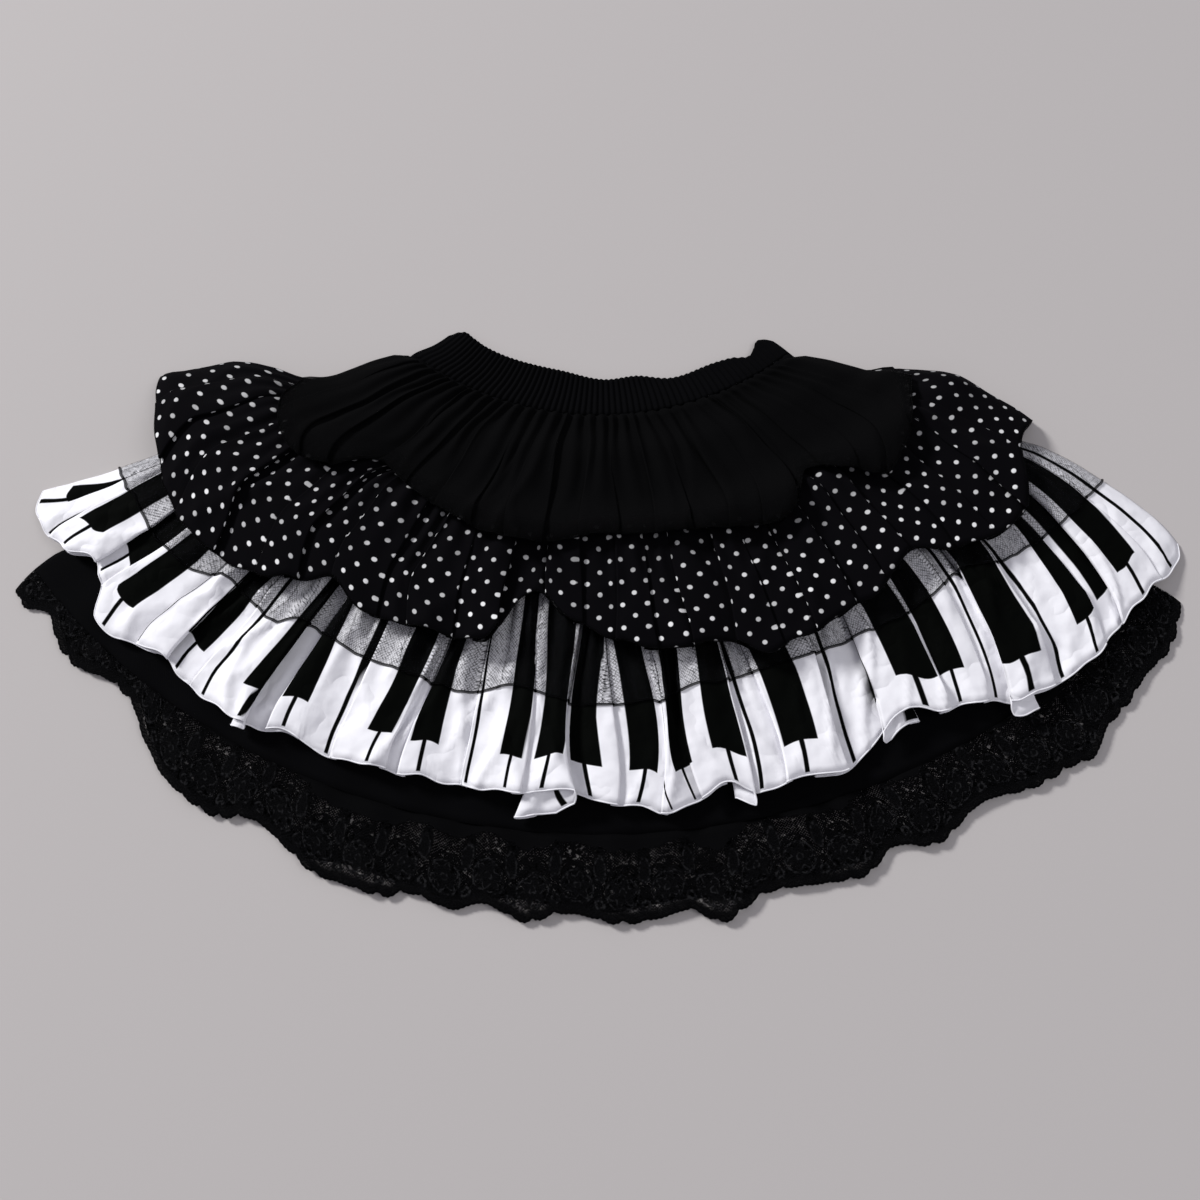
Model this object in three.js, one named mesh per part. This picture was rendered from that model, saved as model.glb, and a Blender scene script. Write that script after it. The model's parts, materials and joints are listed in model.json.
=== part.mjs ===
// Tiered ruffle mini skirt laid flat on its back, front up, waist to +Y, hem to -Y. Millimetres, +Z up.
// Every tier is a gathered tube pressed flat, cut as a front and a back piece that meet 0.3 mm apart.
// The tiers spread like a fan about one centre behind the waist: turn is the angle round it in degrees
// (0 towards the hem, minus to the left), reach is the distance from it.
import * as THREE from 'three';

const fanCentre = { x: 1.4, y: 332.4 };
const wall = 1.2; // cloth with its gathered seam allowance
const netWall = 1.0; // soft net over the printed ruffle
const seam = 0.3; // between pieces sewn together
const air = 0.45; // between layers lying on each other

// where each tier starts and, for the back pieces, where its hem lies
const reaches = {
  waistTop: 165, waistFoot: 198, yokeFoot: 262, underHem: 482,
  flounceTop: 201, dotTop: 240, keyTop: 300,
  flounceBackHem: 294, dotBackHem: 352, netBackHem: 392, keyBackHem: 447, laceBackHem: 522,
};

// thickness taken by each folded layer, floor side up
const backSlab = { flounce: 2.4, dot: 2.5, net: 1.8, key: 2.8, inner: 2.2 };
const frontSlab = { inner: 3.2, key: 13.5, net: 1.9, dot: 9.5, flounce: 7.5 };

// half the fan's spread at each reach, left and right side of each tier
const innerSides = [
  { reach: 163, left: 38.0, right: 38.6 }, { reach: 182, left: 39.6, right: 40.4 },
  { reach: 198, left: 41.2, right: 41.2 }, { reach: 262, left: 43.4, right: 43.6 },
  { reach: 350, left: 46.2, right: 45.8 },
  { reach: 440, left: 49.0, right: 47.4 }, { reach: 470, left: 50.2, right: 48.2 },
  { reach: 500, left: 49.6, right: 48.6 }, { reach: 535, left: 46.6, right: 47.4 },
];
const flounceSides = [
  { reach: 200, left: 44.4, right: 44.4 }, { reach: 225, left: 46.4, right: 46.8 },
  { reach: 250, left: 48.4, right: 49.4 }, { reach: 272, left: 50.2, right: 51.0 },
  { reach: 300, left: 49.4, right: 48.6 }, { reach: 320, left: 46.0, right: 45.0 },
];
const dotSides = [
  { reach: 240, left: 45.6, right: 46.6 }, { reach: 255, left: 48.2, right: 51.0 },
  { reach: 265, left: 50.8, right: 52.8 }, { reach: 278, left: 55.0, right: 54.4 },
  { reach: 290, left: 57.4, right: 55.6 }, { reach: 302, left: 58.9, right: 56.2 },
  { reach: 330, left: 60.7, right: 56.2 }, { reach: 345, left: 61.4, right: 56.2 },
  { reach: 395, left: 57.0, right: 54.6 },
];
const keySides = [
  { reach: 300, left: 48.6, right: 48.0 }, { reach: 350, left: 51.2, right: 51.2 },
  { reach: 400, left: 53.2, right: 53.0 }, { reach: 450, left: 55.3, right: 53.0 },
  { reach: 485, left: 55.3, right: 52.4 },
];
const netSides = keySides.map((row) => ({ reach: row.reach, left: row.left + 0.7, right: row.right + 0.7 }));

// hem outlines of the front pieces as they lie, by turn
const waistEdge = [
  { turn: -38.4, reach: 165 }, { turn: -34, reach: 165 }, { turn: -25, reach: 163 }, { turn: -10, reach: 164 },
  { turn: 1, reach: 169 }, { turn: 9, reach: 168 }, { turn: 17, reach: 175 }, { turn: 26, reach: 176 },
  { turn: 34, reach: 178 }, { turn: 40.4, reach: 183 },
];
const flounceHem = [
  { turn: -48.4, reach: 268 }, { turn: -46, reach: 292 }, { turn: -42, reach: 311 }, { turn: -35, reach: 304 },
  { turn: -30, reach: 282 }, { turn: -26, reach: 289 }, { turn: -21, reach: 297 }, { turn: -14, reach: 306 },
  { turn: -8, reach: 307 }, { turn: 0, reach: 299 }, { turn: 12, reach: 302 }, { turn: 22, reach: 312 },
  { turn: 24.5, reach: 305 }, { turn: 27, reach: 284 }, { turn: 32, reach: 298 }, { turn: 38, reach: 316 },
  { turn: 41, reach: 308 }, { turn: 46, reach: 282 }, { turn: 48.2, reach: 274 },
];
const dotHem = [
  { turn: -61.4, reach: 338 }, { turn: -56, reach: 355 }, { turn: -50, reach: 377 }, { turn: -46, reach: 390 },
  { turn: -39, reach: 394 }, { turn: -34, reach: 388 }, { turn: -31, reach: 380 }, { turn: -27, reach: 367 },
  { turn: -23, reach: 378 }, { turn: -17, reach: 376 }, { turn: -11, reach: 375 }, { turn: -9.6, reach: 362 },
  { turn: -8, reach: 342 }, { turn: -6, reach: 338 }, { turn: -2, reach: 357 }, { turn: 4, reach: 372 },
  { turn: 8, reach: 376 }, { turn: 12, reach: 375 }, { turn: 15, reach: 389 }, { turn: 18, reach: 387 },
  { turn: 22, reach: 384 }, { turn: 25, reach: 378 }, { turn: 27, reach: 380 }, { turn: 32, reach: 365 },
  { turn: 37, reach: 381 }, { turn: 41, reach: 390 }, { turn: 44, reach: 391 }, { turn: 47, reach: 381 },
  { turn: 50, reach: 360 }, { turn: 56.2, reach: 357 },
];
const netHem = [
  { turn: -54, reach: 402 }, { turn: -48, reach: 405 }, { turn: -44, reach: 411 }, { turn: -40, reach: 409 },
  { turn: -36, reach: 400 }, { turn: -30, reach: 407 }, { turn: -28, reach: 397 }, { turn: -23, reach: 401 },
  { turn: -15, reach: 404 }, { turn: -11, reach: 405 }, { turn: -8, reach: 397 }, { turn: -2, reach: 404 },
  { turn: 5, reach: 403 }, { turn: 10, reach: 397 }, { turn: 21, reach: 395 }, { turn: 28, reach: 396 },
  { turn: 32, reach: 391 }, { turn: 38, reach: 406 }, { turn: 45, reach: 413 }, { turn: 53, reach: 417 },
];
const keyHem = [
  { turn: -55.3, reach: 448 }, { turn: -52, reach: 461 }, { turn: -49, reach: 459 }, { turn: -47, reach: 447 },
  { turn: -44.6, reach: 456 }, { turn: -43, reach: 473 }, { turn: -39, reach: 468 }, { turn: -36, reach: 462 },
  { turn: -33, reach: 468 }, { turn: -27, reach: 469 }, { turn: -25, reach: 463 }, { turn: -21, reach: 466 },
  { turn: -14, reach: 462 }, { turn: -7, reach: 462 }, { turn: -2, reach: 459 }, { turn: 1, reach: 465 },
  { turn: 5, reach: 471 }, { turn: 8, reach: 465 }, { turn: 10, reach: 460 }, { turn: 12, reach: 468 },
  { turn: 16, reach: 466 }, { turn: 19, reach: 469 }, { turn: 22, reach: 459 }, { turn: 24.5, reach: 450 },
  { turn: 27, reach: 459 }, { turn: 31, reach: 467 }, { turn: 34, reach: 478 }, { turn: 40, reach: 485 },
  { turn: 47, reach: 480 }, { turn: 50, reach: 483 }, { turn: 52.6, reach: 460 },
];
const laceHem = [
  { turn: -49.6, reach: 499 }, { turn: -48, reach: 502 }, { turn: -46, reach: 494 }, { turn: -44, reach: 500 },
  { turn: -41, reach: 502 }, { turn: -38, reach: 494 }, { turn: -36, reach: 497 }, { turn: -34, reach: 512 },
  { turn: -32, reach: 523 }, { turn: -28, reach: 526 }, { turn: -25, reach: 519 }, { turn: -22, reach: 526 },
  { turn: -19, reach: 535 }, { turn: -15, reach: 534 }, { turn: -13, reach: 529 }, { turn: -10, reach: 535 },
  { turn: -8, reach: 529 }, { turn: -5, reach: 535 }, { turn: -3, reach: 530 }, { turn: 1, reach: 534 },
  { turn: 4, reach: 534 }, { turn: 6, reach: 530 }, { turn: 8, reach: 538 }, { turn: 11, reach: 526 },
  { turn: 15, reach: 530 }, { turn: 18, reach: 530 }, { turn: 20, reach: 522 }, { turn: 23, reach: 528 },
  { turn: 27, reach: 520 }, { turn: 31, reach: 526 }, { turn: 34, reach: 527 }, { turn: 36, reach: 532 },
  { turn: 38, reach: 523 }, { turn: 42, reach: 517 }, { turn: 45, reach: 515 }, { turn: 48.6, reach: 504 },
];

// fold edges of the front pieces: turn at the hem and at the gathered top, height of the cloth beside the
// edge on its left and right as a share of the slab; the higher side lies over the lower one
const keyFolds = [
  { hem: -51.0, top: -47.2, left: 0.10, right: 0.62 }, { hem: -46.6, top: -43.4, left: 0.70, right: 0.22 },
  { hem: -44.4, top: -41.2, left: 0.30, right: 0.46 }, { hem: -38.5, top: -34.6, left: 0.12, right: 0.78 },
  { hem: -35.9, top: -32.8, left: 0.78, right: 0.20 }, { hem: -33.0, top: -30.6, left: 0.22, right: 0.50 },
  { hem: -27.6, top: -26.0, left: 0.84, right: 0.08 }, { hem: -25.9, top: -24.8, left: 0.08, right: 0.74 },
  { hem: -20.6, top: -19.6, left: 0.30, right: 0.46 }, { hem: -16.4, top: -14.8, left: 0.66, right: 0.26 },
  { hem: -15.2, top: -13.6, left: 0.26, right: 0.62 }, { hem: -10.4, top: -10.2, left: 0.24, right: 0.36 },
  { hem: -6.0, top: -6.6, left: 0.74, right: 0.26 }, { hem: -1.9, top: -1.8, left: 0.92, right: 0.10 },
  { hem: 1.2, top: 0.8, left: 0.58, right: 0.28 }, { hem: 4.6, top: 4.0, left: 0.34, right: 0.56 },
  { hem: 7.7, top: 6.4, left: 0.16, right: 0.80 }, { hem: 11.4, top: 9.8, left: 0.58, right: 0.22 },
  { hem: 14.0, top: 12.8, left: 0.30, right: 0.60 }, { hem: 18.7, top: 17.8, left: 0.82, right: 0.14 },
  { hem: 22.2, top: 22.6, left: 0.20, right: 0.72 }, { hem: 27.8, top: 27.9, left: 0.74, right: 0.34 },
  { hem: 31.0, top: 32.0, left: 0.50, right: 0.22 }, { hem: 33.4, top: 34.4, left: 0.12, right: 0.72 },
  { hem: 36.4, top: 38.6, left: 0.74, right: 0.20 }, { hem: 41.9, top: 41.6, left: 0.62, right: 0.34 },
  { hem: 44.2, top: 44.4, left: 0.20, right: 0.70 }, { hem: 49.4, top: 46.6, left: 0.60, right: 0.30 },
];
const dotFolds = [
  { hem: -55.0, top: -41.0, left: 0.20, right: 0.60 }, { hem: -50.4, top: -38.0, left: 0.70, right: 0.24 },
  { hem: -45.2, top: -34.6, left: 0.30, right: 0.62 }, { hem: -39.6, top: -31.0, left: 0.74, right: 0.20 },
  { hem: -34.6, top: -27.6, left: 0.34, right: 0.58 }, { hem: -30.4, top: -24.4, left: 0.64, right: 0.22 },
  { hem: -26.8, top: -21.8, left: 0.16, right: 0.82 }, { hem: -21.8, top: -18.0, left: 0.50, right: 0.26 },
  { hem: -18.4, top: -15.0, left: 0.26, right: 0.60 }, { hem: -14.2, top: -11.8, left: 0.56, right: 0.34 },
  { hem: -9.8, top: -8.4, left: 0.90, right: 0.10 }, { hem: -5.4, top: -5.2, left: 0.10, right: 0.66 },
  { hem: -1.8, top: -2.0, left: 0.60, right: 0.30 }, { hem: 1.6, top: 1.0, left: 0.32, right: 0.60 },
  { hem: 5.4, top: 4.2, left: 0.62, right: 0.28 }, { hem: 9.0, top: 7.0, left: 0.24, right: 0.56 },
  { hem: 13.0, top: 10.4, left: 0.18, right: 0.78 }, { hem: 17.0, top: 13.8, left: 0.60, right: 0.30 },
  { hem: 20.6, top: 16.6, left: 0.30, right: 0.62 }, { hem: 24.8, top: 20.0, left: 0.70, right: 0.22 },
  { hem: 28.6, top: 23.2, left: 0.60, right: 0.34 }, { hem: 32.2, top: 26.0, left: 0.78, right: 0.12 },
  { hem: 36.8, top: 29.6, left: 0.34, right: 0.66 }, { hem: 40.8, top: 32.8, left: 0.62, right: 0.28 },
  { hem: 45.0, top: 36.2, left: 0.30, right: 0.64 }, { hem: 49.4, top: 39.6, left: 0.72, right: 0.18 },
];
const flounceFolds = [
  { hem: -44.6, top: -38.6, left: 0.30, right: 0.64 }, { hem: -40.0, top: -34.8, left: 0.60, right: 0.28 },
  { hem: -35.6, top: -31.0, left: 0.72, right: 0.26 }, { hem: -29.8, top: -26.2, left: 0.16, right: 0.70 },
  { hem: -25.2, top: -22.0, left: 0.56, right: 0.30 }, { hem: -20.6, top: -18.2, left: 0.28, right: 0.60 },
  { hem: -15.8, top: -14.0, left: 0.64, right: 0.34 }, { hem: -11.4, top: -10.2, left: 0.32, right: 0.62 },
  { hem: -7.0, top: -6.2, left: 0.66, right: 0.22 }, { hem: -2.4, top: -2.2, left: 0.28, right: 0.58 },
  { hem: 2.2, top: 2.0, left: 0.56, right: 0.26 }, { hem: 6.8, top: 6.0, left: 0.30, right: 0.64 },
  { hem: 11.2, top: 9.8, left: 0.60, right: 0.32 }, { hem: 15.8, top: 14.0, left: 0.28, right: 0.62 },
  { hem: 20.2, top: 17.8, left: 0.52, right: 0.74 }, { hem: 24.6, top: 21.8, left: 0.86, right: 0.12 },
  { hem: 29.0, top: 25.6, left: 0.34, right: 0.60 }, { hem: 33.4, top: 29.4, left: 0.60, right: 0.36 },
  { hem: 38.0, top: 33.4, left: 0.40, right: 0.66 }, { hem: 42.2, top: 36.8, left: 0.66, right: 0.28 },
];

const radians = (degrees) => degrees * Math.PI / 180;
const clamp01 = (value) => Math.min(1, Math.max(0, value));
const smooth = (low, high, value) => {
  const share = clamp01((value - low) / (high - low));
  return share * share * (3 - 2 * share);
};
const mix = (a, b, share) => a + (b - a) * share;

// soft curve through a table's rows, held level past its ends
const curve = (rows, from, to) => {
  const last = rows.length - 1;
  const slope = (i) => {
    const before = rows[Math.max(0, i - 1)];
    const after = rows[Math.min(last, i + 1)];
    return (after[to] - before[to]) / (after[from] - before[from]);
  };
  return (value) => {
    if (value <= rows[0][from]) return rows[0][to];
    if (value >= rows[last][from]) return rows[last][to];
    let i = 0;
    while (rows[i + 1][from] < value) i += 1;
    const span = rows[i + 1][from] - rows[i][from];
    const t = (value - rows[i][from]) / span;
    const h = t * t * (3 - 2 * t);
    const ease = t * (1 - t) * (1 - t) * span * slope(i) - t * t * (1 - t) * span * slope(i + 1);
    return mix(rows[i][to], rows[i + 1][to], h) + 0.8 * ease;
  };
};
const sides = (rows) => ({ left: curve(rows, 'reach', 'left'), right: curve(rows, 'reach', 'right') });

const inner = sides(innerSides);
const tiers = {
  flounce: { sides: sides(flounceSides), top: reaches.flounceTop, backHem: reaches.flounceBackHem },
  dot: { sides: sides(dotSides), top: reaches.dotTop, backHem: reaches.dotBackHem },
  net: { sides: sides(netSides), top: reaches.keyTop, backHem: reaches.netBackHem },
  key: { sides: sides(keySides), top: reaches.keyTop, backHem: reaches.keyBackHem },
};

// how far a tier's slab counts at a reach: it rises just before its top and dies away past its hem
const present = (tier, reach) =>
  smooth(tier.top - 30, tier.top - 3, reach) * (1 - smooth(tier.backHem + 3, tier.backHem + 30, reach));
const backOrder = ['flounce', 'dot', 'net', 'key'];
// floor height of a back piece: the pieces between it and the floor
const backFloor = (name, reach) => {
  let height = 0;
  for (const lower of backOrder) {
    if (lower === name) break;
    height += backSlab[lower] * present(tiers[lower], reach);
  }
  return height;
};
// the front folds stand higher towards the hem than at the gathered seam
const growth = (reach, top, hem) => 0.3 + 0.7 * smooth(top - 6, mix(top, hem, 0.8), reach);
const frontRise = {
  key: (reach) => frontSlab.key * growth(reach, 300, 465),
  dot: (reach) => frontSlab.dot * growth(reach, 240, 375),
  flounce: (reach) => frontSlab.flounce * growth(reach, 201, 300),
};
const innerFloor = (reach) => backFloor('inner', reach) + backSlab.inner;
// height over the floor of a front piece's lowest cloth in the middle of the skirt
const frontFloor = (name, reach) => {
  let height = innerFloor(reach) + air;
  if (name === 'inner') return height;
  height += frontSlab.inner;
  if (name === 'key') return height;
  const keyHere = smooth(262, 297, reach);
  height += keyHere * (frontRise.key(reach) + wall + 2 * frontSlab.net);
  if (name === 'dot') return height;
  const dotHere = smooth(206, 237, reach);
  return height + dotHere * (frontRise.dot(reach) + wall + air + 0.6);
};
// a front piece comes down to lie on its own back piece at the sides
const sideFloor = (name, reach) => backFloor(name, reach) + wall + seam + 0.5;
// the net's side seam lies just outside the printed ruffle's, at the same height
const netSeam = (reach) => sideFloor('key', reach) + wall / 2 - netWall / 2;
const crown = (share) => Math.sqrt(1 - Math.pow(Math.min(1, Math.abs(share)), 7));
// highest cloth of the dotted flounce at a place, for the top flounce's sides to lie on
const dotTopAt = (turn, reach) => {
  const side = tiers.dot.sides;
  const over = crown(turn / (turn < 0 ? side.left(reach) : side.right(reach)));
  const high = frontFloor('dot', reach) + frontRise.dot(reach) + 1.4;
  return mix(sideFloor('dot', reach), high, over) + wall + air;
};

const place = (turn, reach, height) => new THREE.Vector3(
  fanCentre.x + reach * Math.sin(radians(turn)),
  fanCentre.y - reach * Math.cos(radians(turn)),
  height,
);
const turnAt = (side, share, reach) => share * (share < 0 ? side.left(reach) : side.right(reach));

// one column of a piece for each place across it: share at the hem and top, height share
const foldColumns = (folds, side, hemReach, spare) => {
  const shareOf = (turn) => turn / (turn < 0 ? side.left(hemReach) : side.right(hemReach));
  const topOf = (turn, top) => top / (top < 0 ? side.left(spare.top) : side.right(spare.top));
  const columns = [{ hem: -1, top: -1, lift: 0 }];
  const add = (hem, top, lift) => columns.push({ hem: shareOf(hem), top: topOf(hem, top), lift });
  folds.forEach((fold, i) => {
    const half = spare.edge;
    add(fold.hem - half, fold.top - 0.9 * half, fold.left);
    add(fold.hem + half, fold.top + 0.9 * half, fold.right);
    const next = folds[i + 1];
    if (!next) return;
    const from = fold.hem + half;
    const to = next.hem - half;
    const steps = Math.max(1, Math.round((to - from) / spare.step));
    for (let j = 1; j < steps; j += 1) {
      const t = j / steps;
      const belly = 0.1 * Math.sin(Math.PI * t); // the cloth between two edges swells a little
      add(mix(from, to, t), mix(fold.top + 0.9 * half, next.top - 0.9 * half, t),
        clamp01(mix(fold.right, next.left, t * t * (3 - 2 * t)) + belly));
    }
  });
  columns.push({ hem: 1, top: 1, lift: 0 });
  // one more column between each side seam and the first fold keeps the side soft
  const first = columns[1];
  columns.splice(1, 0, { hem: mix(-1, first.hem, 0.3), top: mix(-1, first.top, 0.3), lift: first.lift * 0.6 });
  const end = columns[columns.length - 2];
  columns.splice(columns.length - 1, 0, { hem: mix(1, end.hem, 0.3), top: mix(1, end.top, 0.3), lift: end.lift * 0.6 });
  return columns;
};

// a closed solid from a grid of middle points: both faces moved out by half the wall, four edges closed
const solidFrom = (grid, thickness, flatUnder = null) => {
  const rows = grid.length;
  const count = grid[0].length;
  const upper = [];
  const lower = [];
  for (let i = 0; i < rows; i += 1) {
    for (let j = 0; j < count; j += 1) {
      const across = grid[i][Math.min(count - 1, j + 1)].clone().sub(grid[i][Math.max(0, j - 1)]);
      const along = grid[Math.min(rows - 1, i + 1)][j].clone().sub(grid[Math.max(0, i - 1)][j]);
      const normal = along.cross(across).normalize();
      if (normal.z < 0) normal.negate();
      const edge = j === 0 || j === count - 1;
      if (edge) normal.set(0, 0, 1);
      const p = grid[i][j];
      upper.push(p.clone().addScaledVector(normal, thickness / 2));
      const under = p.clone().addScaledVector(normal, -thickness / 2);
      if (flatUnder !== null && under.z < flatUnder + 0.02) under.z = flatUnder;
      lower.push(under);
    }
  }
  const points = upper.concat(lower);
  const at = (i, j) => i * count + j;
  const base = rows * count;
  const index = [];
  const quad = (a, b, c, d) => index.push(a, b, c, a, c, d);
  for (let i = 0; i < rows - 1; i += 1) {
    for (let j = 0; j < count - 1; j += 1) {
      quad(at(i, j), at(i + 1, j), at(i + 1, j + 1), at(i, j + 1));
      quad(base + at(i, j), base + at(i, j + 1), base + at(i + 1, j + 1), base + at(i + 1, j));
    }
  }
  for (let j = 0; j < count - 1; j += 1) {
    quad(at(0, j), at(0, j + 1), base + at(0, j + 1), base + at(0, j));
    quad(at(rows - 1, j + 1), at(rows - 1, j), base + at(rows - 1, j), base + at(rows - 1, j + 1));
  }
  for (let i = 0; i < rows - 1; i += 1) {
    quad(at(i + 1, 0), at(i, 0), base + at(i, 0), base + at(i + 1, 0));
    quad(at(i, count - 1), at(i + 1, count - 1), base + at(i + 1, count - 1), base + at(i, count - 1));
  }
  const geometry = new THREE.BufferGeometry();
  geometry.setAttribute('position', new THREE.Float32BufferAttribute(points.flatMap((p) => [p.x, p.y, p.z]), 3));
  geometry.setIndex(index);
  return geometry;
};

// middle surface of a front tier: fold columns carried from the gathered top to the hem
const frontGrid = (name, columns, hemCurve, levels, top) => {
  const tier = tiers[name];
  const rise = frontRise[name];
  const hemSide = hemCurve(0);
  return levels.map((level) => columns.map((column, j) => {
    const hemTurn = turnAt(tier.sides, column.hem, hemSide);
    const hem = hemCurve(hemTurn);
    const reach = mix(top, hem, level);
    const share = mix(column.top, column.hem, level);
    const turn = turnAt(tier.sides, share, reach);
    const gather = (j % 2 === 0 ? 0.5 : -0.5) * (1 - smooth(0, 0.35, level)) * 1.1;
    const over = crown(share);
    const ownSide = sideFloor(name, reach);
    const side = name === 'flounce' ? mix(ownSide, dotTopAt(turn, reach), smooth(244, 262, reach)) : ownSide;
    const low = side + wall / 2;
    const middle = frontFloor(name, reach) + wall / 2 + 0.55 + gather;
    const height = mix(low, middle + column.lift * (rise(reach) - 0.6), over);
    return place(turn, reach, height);
  }));
};

// middle surface of a back piece: lies flat, with shallow ridges that rise off the layer under it
const ridge = (j, every) => (j % every === 1 ? 0.6 + 0.4 * Math.sin(1.7 * j) ** 2 : 0);
const backGrid = (name, top, hem, reachRows, count, every) =>
  reachRows.map((row) => Array.from({ length: count }, (_, j) => {
    const share = -1 + 2 * j / (count - 1);
    const reach = mix(top, hem(share), (row - top) / (hem(0) - top));
    const net = name === 'net';
    const rim = j === 0 || j === count - 1;
    const edge = j < 2 || j > count - 3;
    const side = net && edge && !rim ? tiers.key.sides : tiers[name].sides;
    const turn = turnAt(side, edge ? Math.sign(share) * (net || rim ? 1 : Math.abs(share)) : share, reach);
    const free = backSlab[name] - wall - air - 0.1;
    const floor = net && rim ? netSeam(reach) - netWall / 2 : backFloor(name, reach) + (net ? netWall : wall) / 2;
    return place(turn, reach, floor + (edge ? 0 : free * ridge(j, every)));
  }));

const bands = (count, power = 1) => Array.from({ length: count + 1 }, (_, i) => Math.pow(i / count, power));
const level = (reach) => () => reach;
const droop = (reach, less) => (share) => reach - less * Math.abs(share) ** 6;

// folds of the front tiers
const keyColumns = foldColumns(keyFolds, tiers.key.sides, 465, { top: 300, edge: 0.4, step: 1.3 });
const dotColumns = foldColumns(dotFolds, tiers.dot.sides, 375, { top: 240, edge: 0.5, step: 2.2 });
const flounceColumns = foldColumns(flounceFolds, tiers.flounce.sides, 300, { top: 201, edge: 0.55, step: 2.6 });

const keyHemCurve = curve(keyHem, 'turn', 'reach');
const keyLevels = [0, 0.1, 0.26, 0.46, 0.64, 0.82, 1];
const keyGrid = frontGrid('key', keyColumns, keyHemCurve, keyLevels, reaches.keyTop);

// the net follows the printed ruffle's points, moved out, and ends at its own edge
const netHemCurve = curve(netHem, 'turn', 'reach');
const netGrid = () => {
  const reachOf = (p) => Math.hypot(p.x - fanCentre.x, p.y - fanCentre.y);
  const edge = keyColumns.map((_, j) => {
    const before = keyGrid[3][j];
    const after = keyGrid[4][j];
    const turn = Math.atan2(after.x - fanCentre.x, fanCentre.y - after.y) * 180 / Math.PI;
    const t = (netHemCurve(turn) - reachOf(before)) / (reachOf(after) - reachOf(before));
    return before.clone().lerp(after, Math.min(0.97, t));
  });
  return [keyGrid[0], keyGrid[1], keyGrid[2], keyGrid[3], edge];
};
const movedOut = (grid, distance) => grid.map((row, i) => row.map((p, j) => {
  const count = row.length;
  if (j === 0 || j === count - 1) {
    const reach = Math.hypot(p.x - fanCentre.x, p.y - fanCentre.y);
    return place(turnAt(tiers.net.sides, j === 0 ? -1 : 1, reach), reach, netSeam(reach) + netWall / 2 + seam + 0.2);
  }
  const across = row[Math.min(count - 1, j + 1)].clone().sub(row[Math.max(0, j - 1)]);
  const along = grid[Math.min(grid.length - 1, i + 1)][j].clone().sub(grid[Math.max(0, i - 1)][j]);
  const normal = along.cross(across).normalize();
  if (normal.z < 0) normal.negate();
  const moved = p.clone().addScaledVector(normal, distance);
  moved.z += 0.12;
  return moved;
}));

// the flat inside tube: waistband, yoke, underskirt and lace lie end to end
const reachOfStart = (top, turn) => (typeof top === 'function' ? top(turn) : top);
const innerFront = (top, hem, reachRows, count, finer = 1) =>
  reachRows.map((row) => Array.from({ length: count }, (_, j) => {
    const share = -1 + 2 * j / (count - 1);
    const start = reachOfStart(top, turnAt(inner, share, 180));
    const end = hem(turnAt(inner, share, 500), j);
    const step = (row - reachRows[0]) / (reachRows[reachRows.length - 1] - reachRows[0]);
    const reach = mix(start, end, step);
    const turn = turnAt(inner, share, reach);
    const wave = 0.5 + 0.5 * Math.sin(0.9 * j / finer + 1.1 * Math.sin(5 * share));
    const low = backFloor('inner', reach) + wall + seam + 0.35 + wall / 2;
    const middle = frontFloor('inner', reach) + wall / 2 + (frontSlab.inner - wall - air - 0.2) * wave;
    return place(turn, reach, mix(low, middle, crown(share)));
  }));
const innerBack = (top, hem, reachRows, count, every) =>
  reachRows.map((row) => Array.from({ length: count }, (_, j) => {
    const share = -1 + 2 * j / (count - 1);
    const start = reachOfStart(top, turnAt(inner, share, 180));
    const end = hem(turnAt(inner, share, 500));
    const step = (row - reachRows[0]) / (reachRows[reachRows.length - 1] - reachRows[0]);
    const reach = mix(start, end, step);
    const turn = turnAt(inner, share, reach);
    const edge = j < 2 || j > count - 3;
    const height = backFloor('inner', reach) + wall / 2 + (edge ? 0 : 0.35 * ridge(j, every));
    return place(turn, reach, height);
  }));

const half = seam / 2;
const waistCurve = curve(waistEdge, 'turn', 'reach');
const laceCurve = curve(laceHem, 'turn', 'reach');
const scallops = (turn, j) => laceCurve(turn) + (j % 3 === 0 ? -1.7 : 1.0); // three points to a scallop
const laceBackCurve = (turn) => Math.min(laceCurve(turn) - 5, reaches.laceBackHem + 3 * Math.cos(radians(turn * 32)));

const satin = (colour) => new THREE.MeshStandardMaterial({ color: colour, roughness: 0.7, side: THREE.DoubleSide });
const materials = {
  black: satin(0x141416), dots: satin(0x2a2a2d), net: satin(0x55555a), keys: satin(0xe8e6e8), lace: satin(0x1a1a1d),
};

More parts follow.
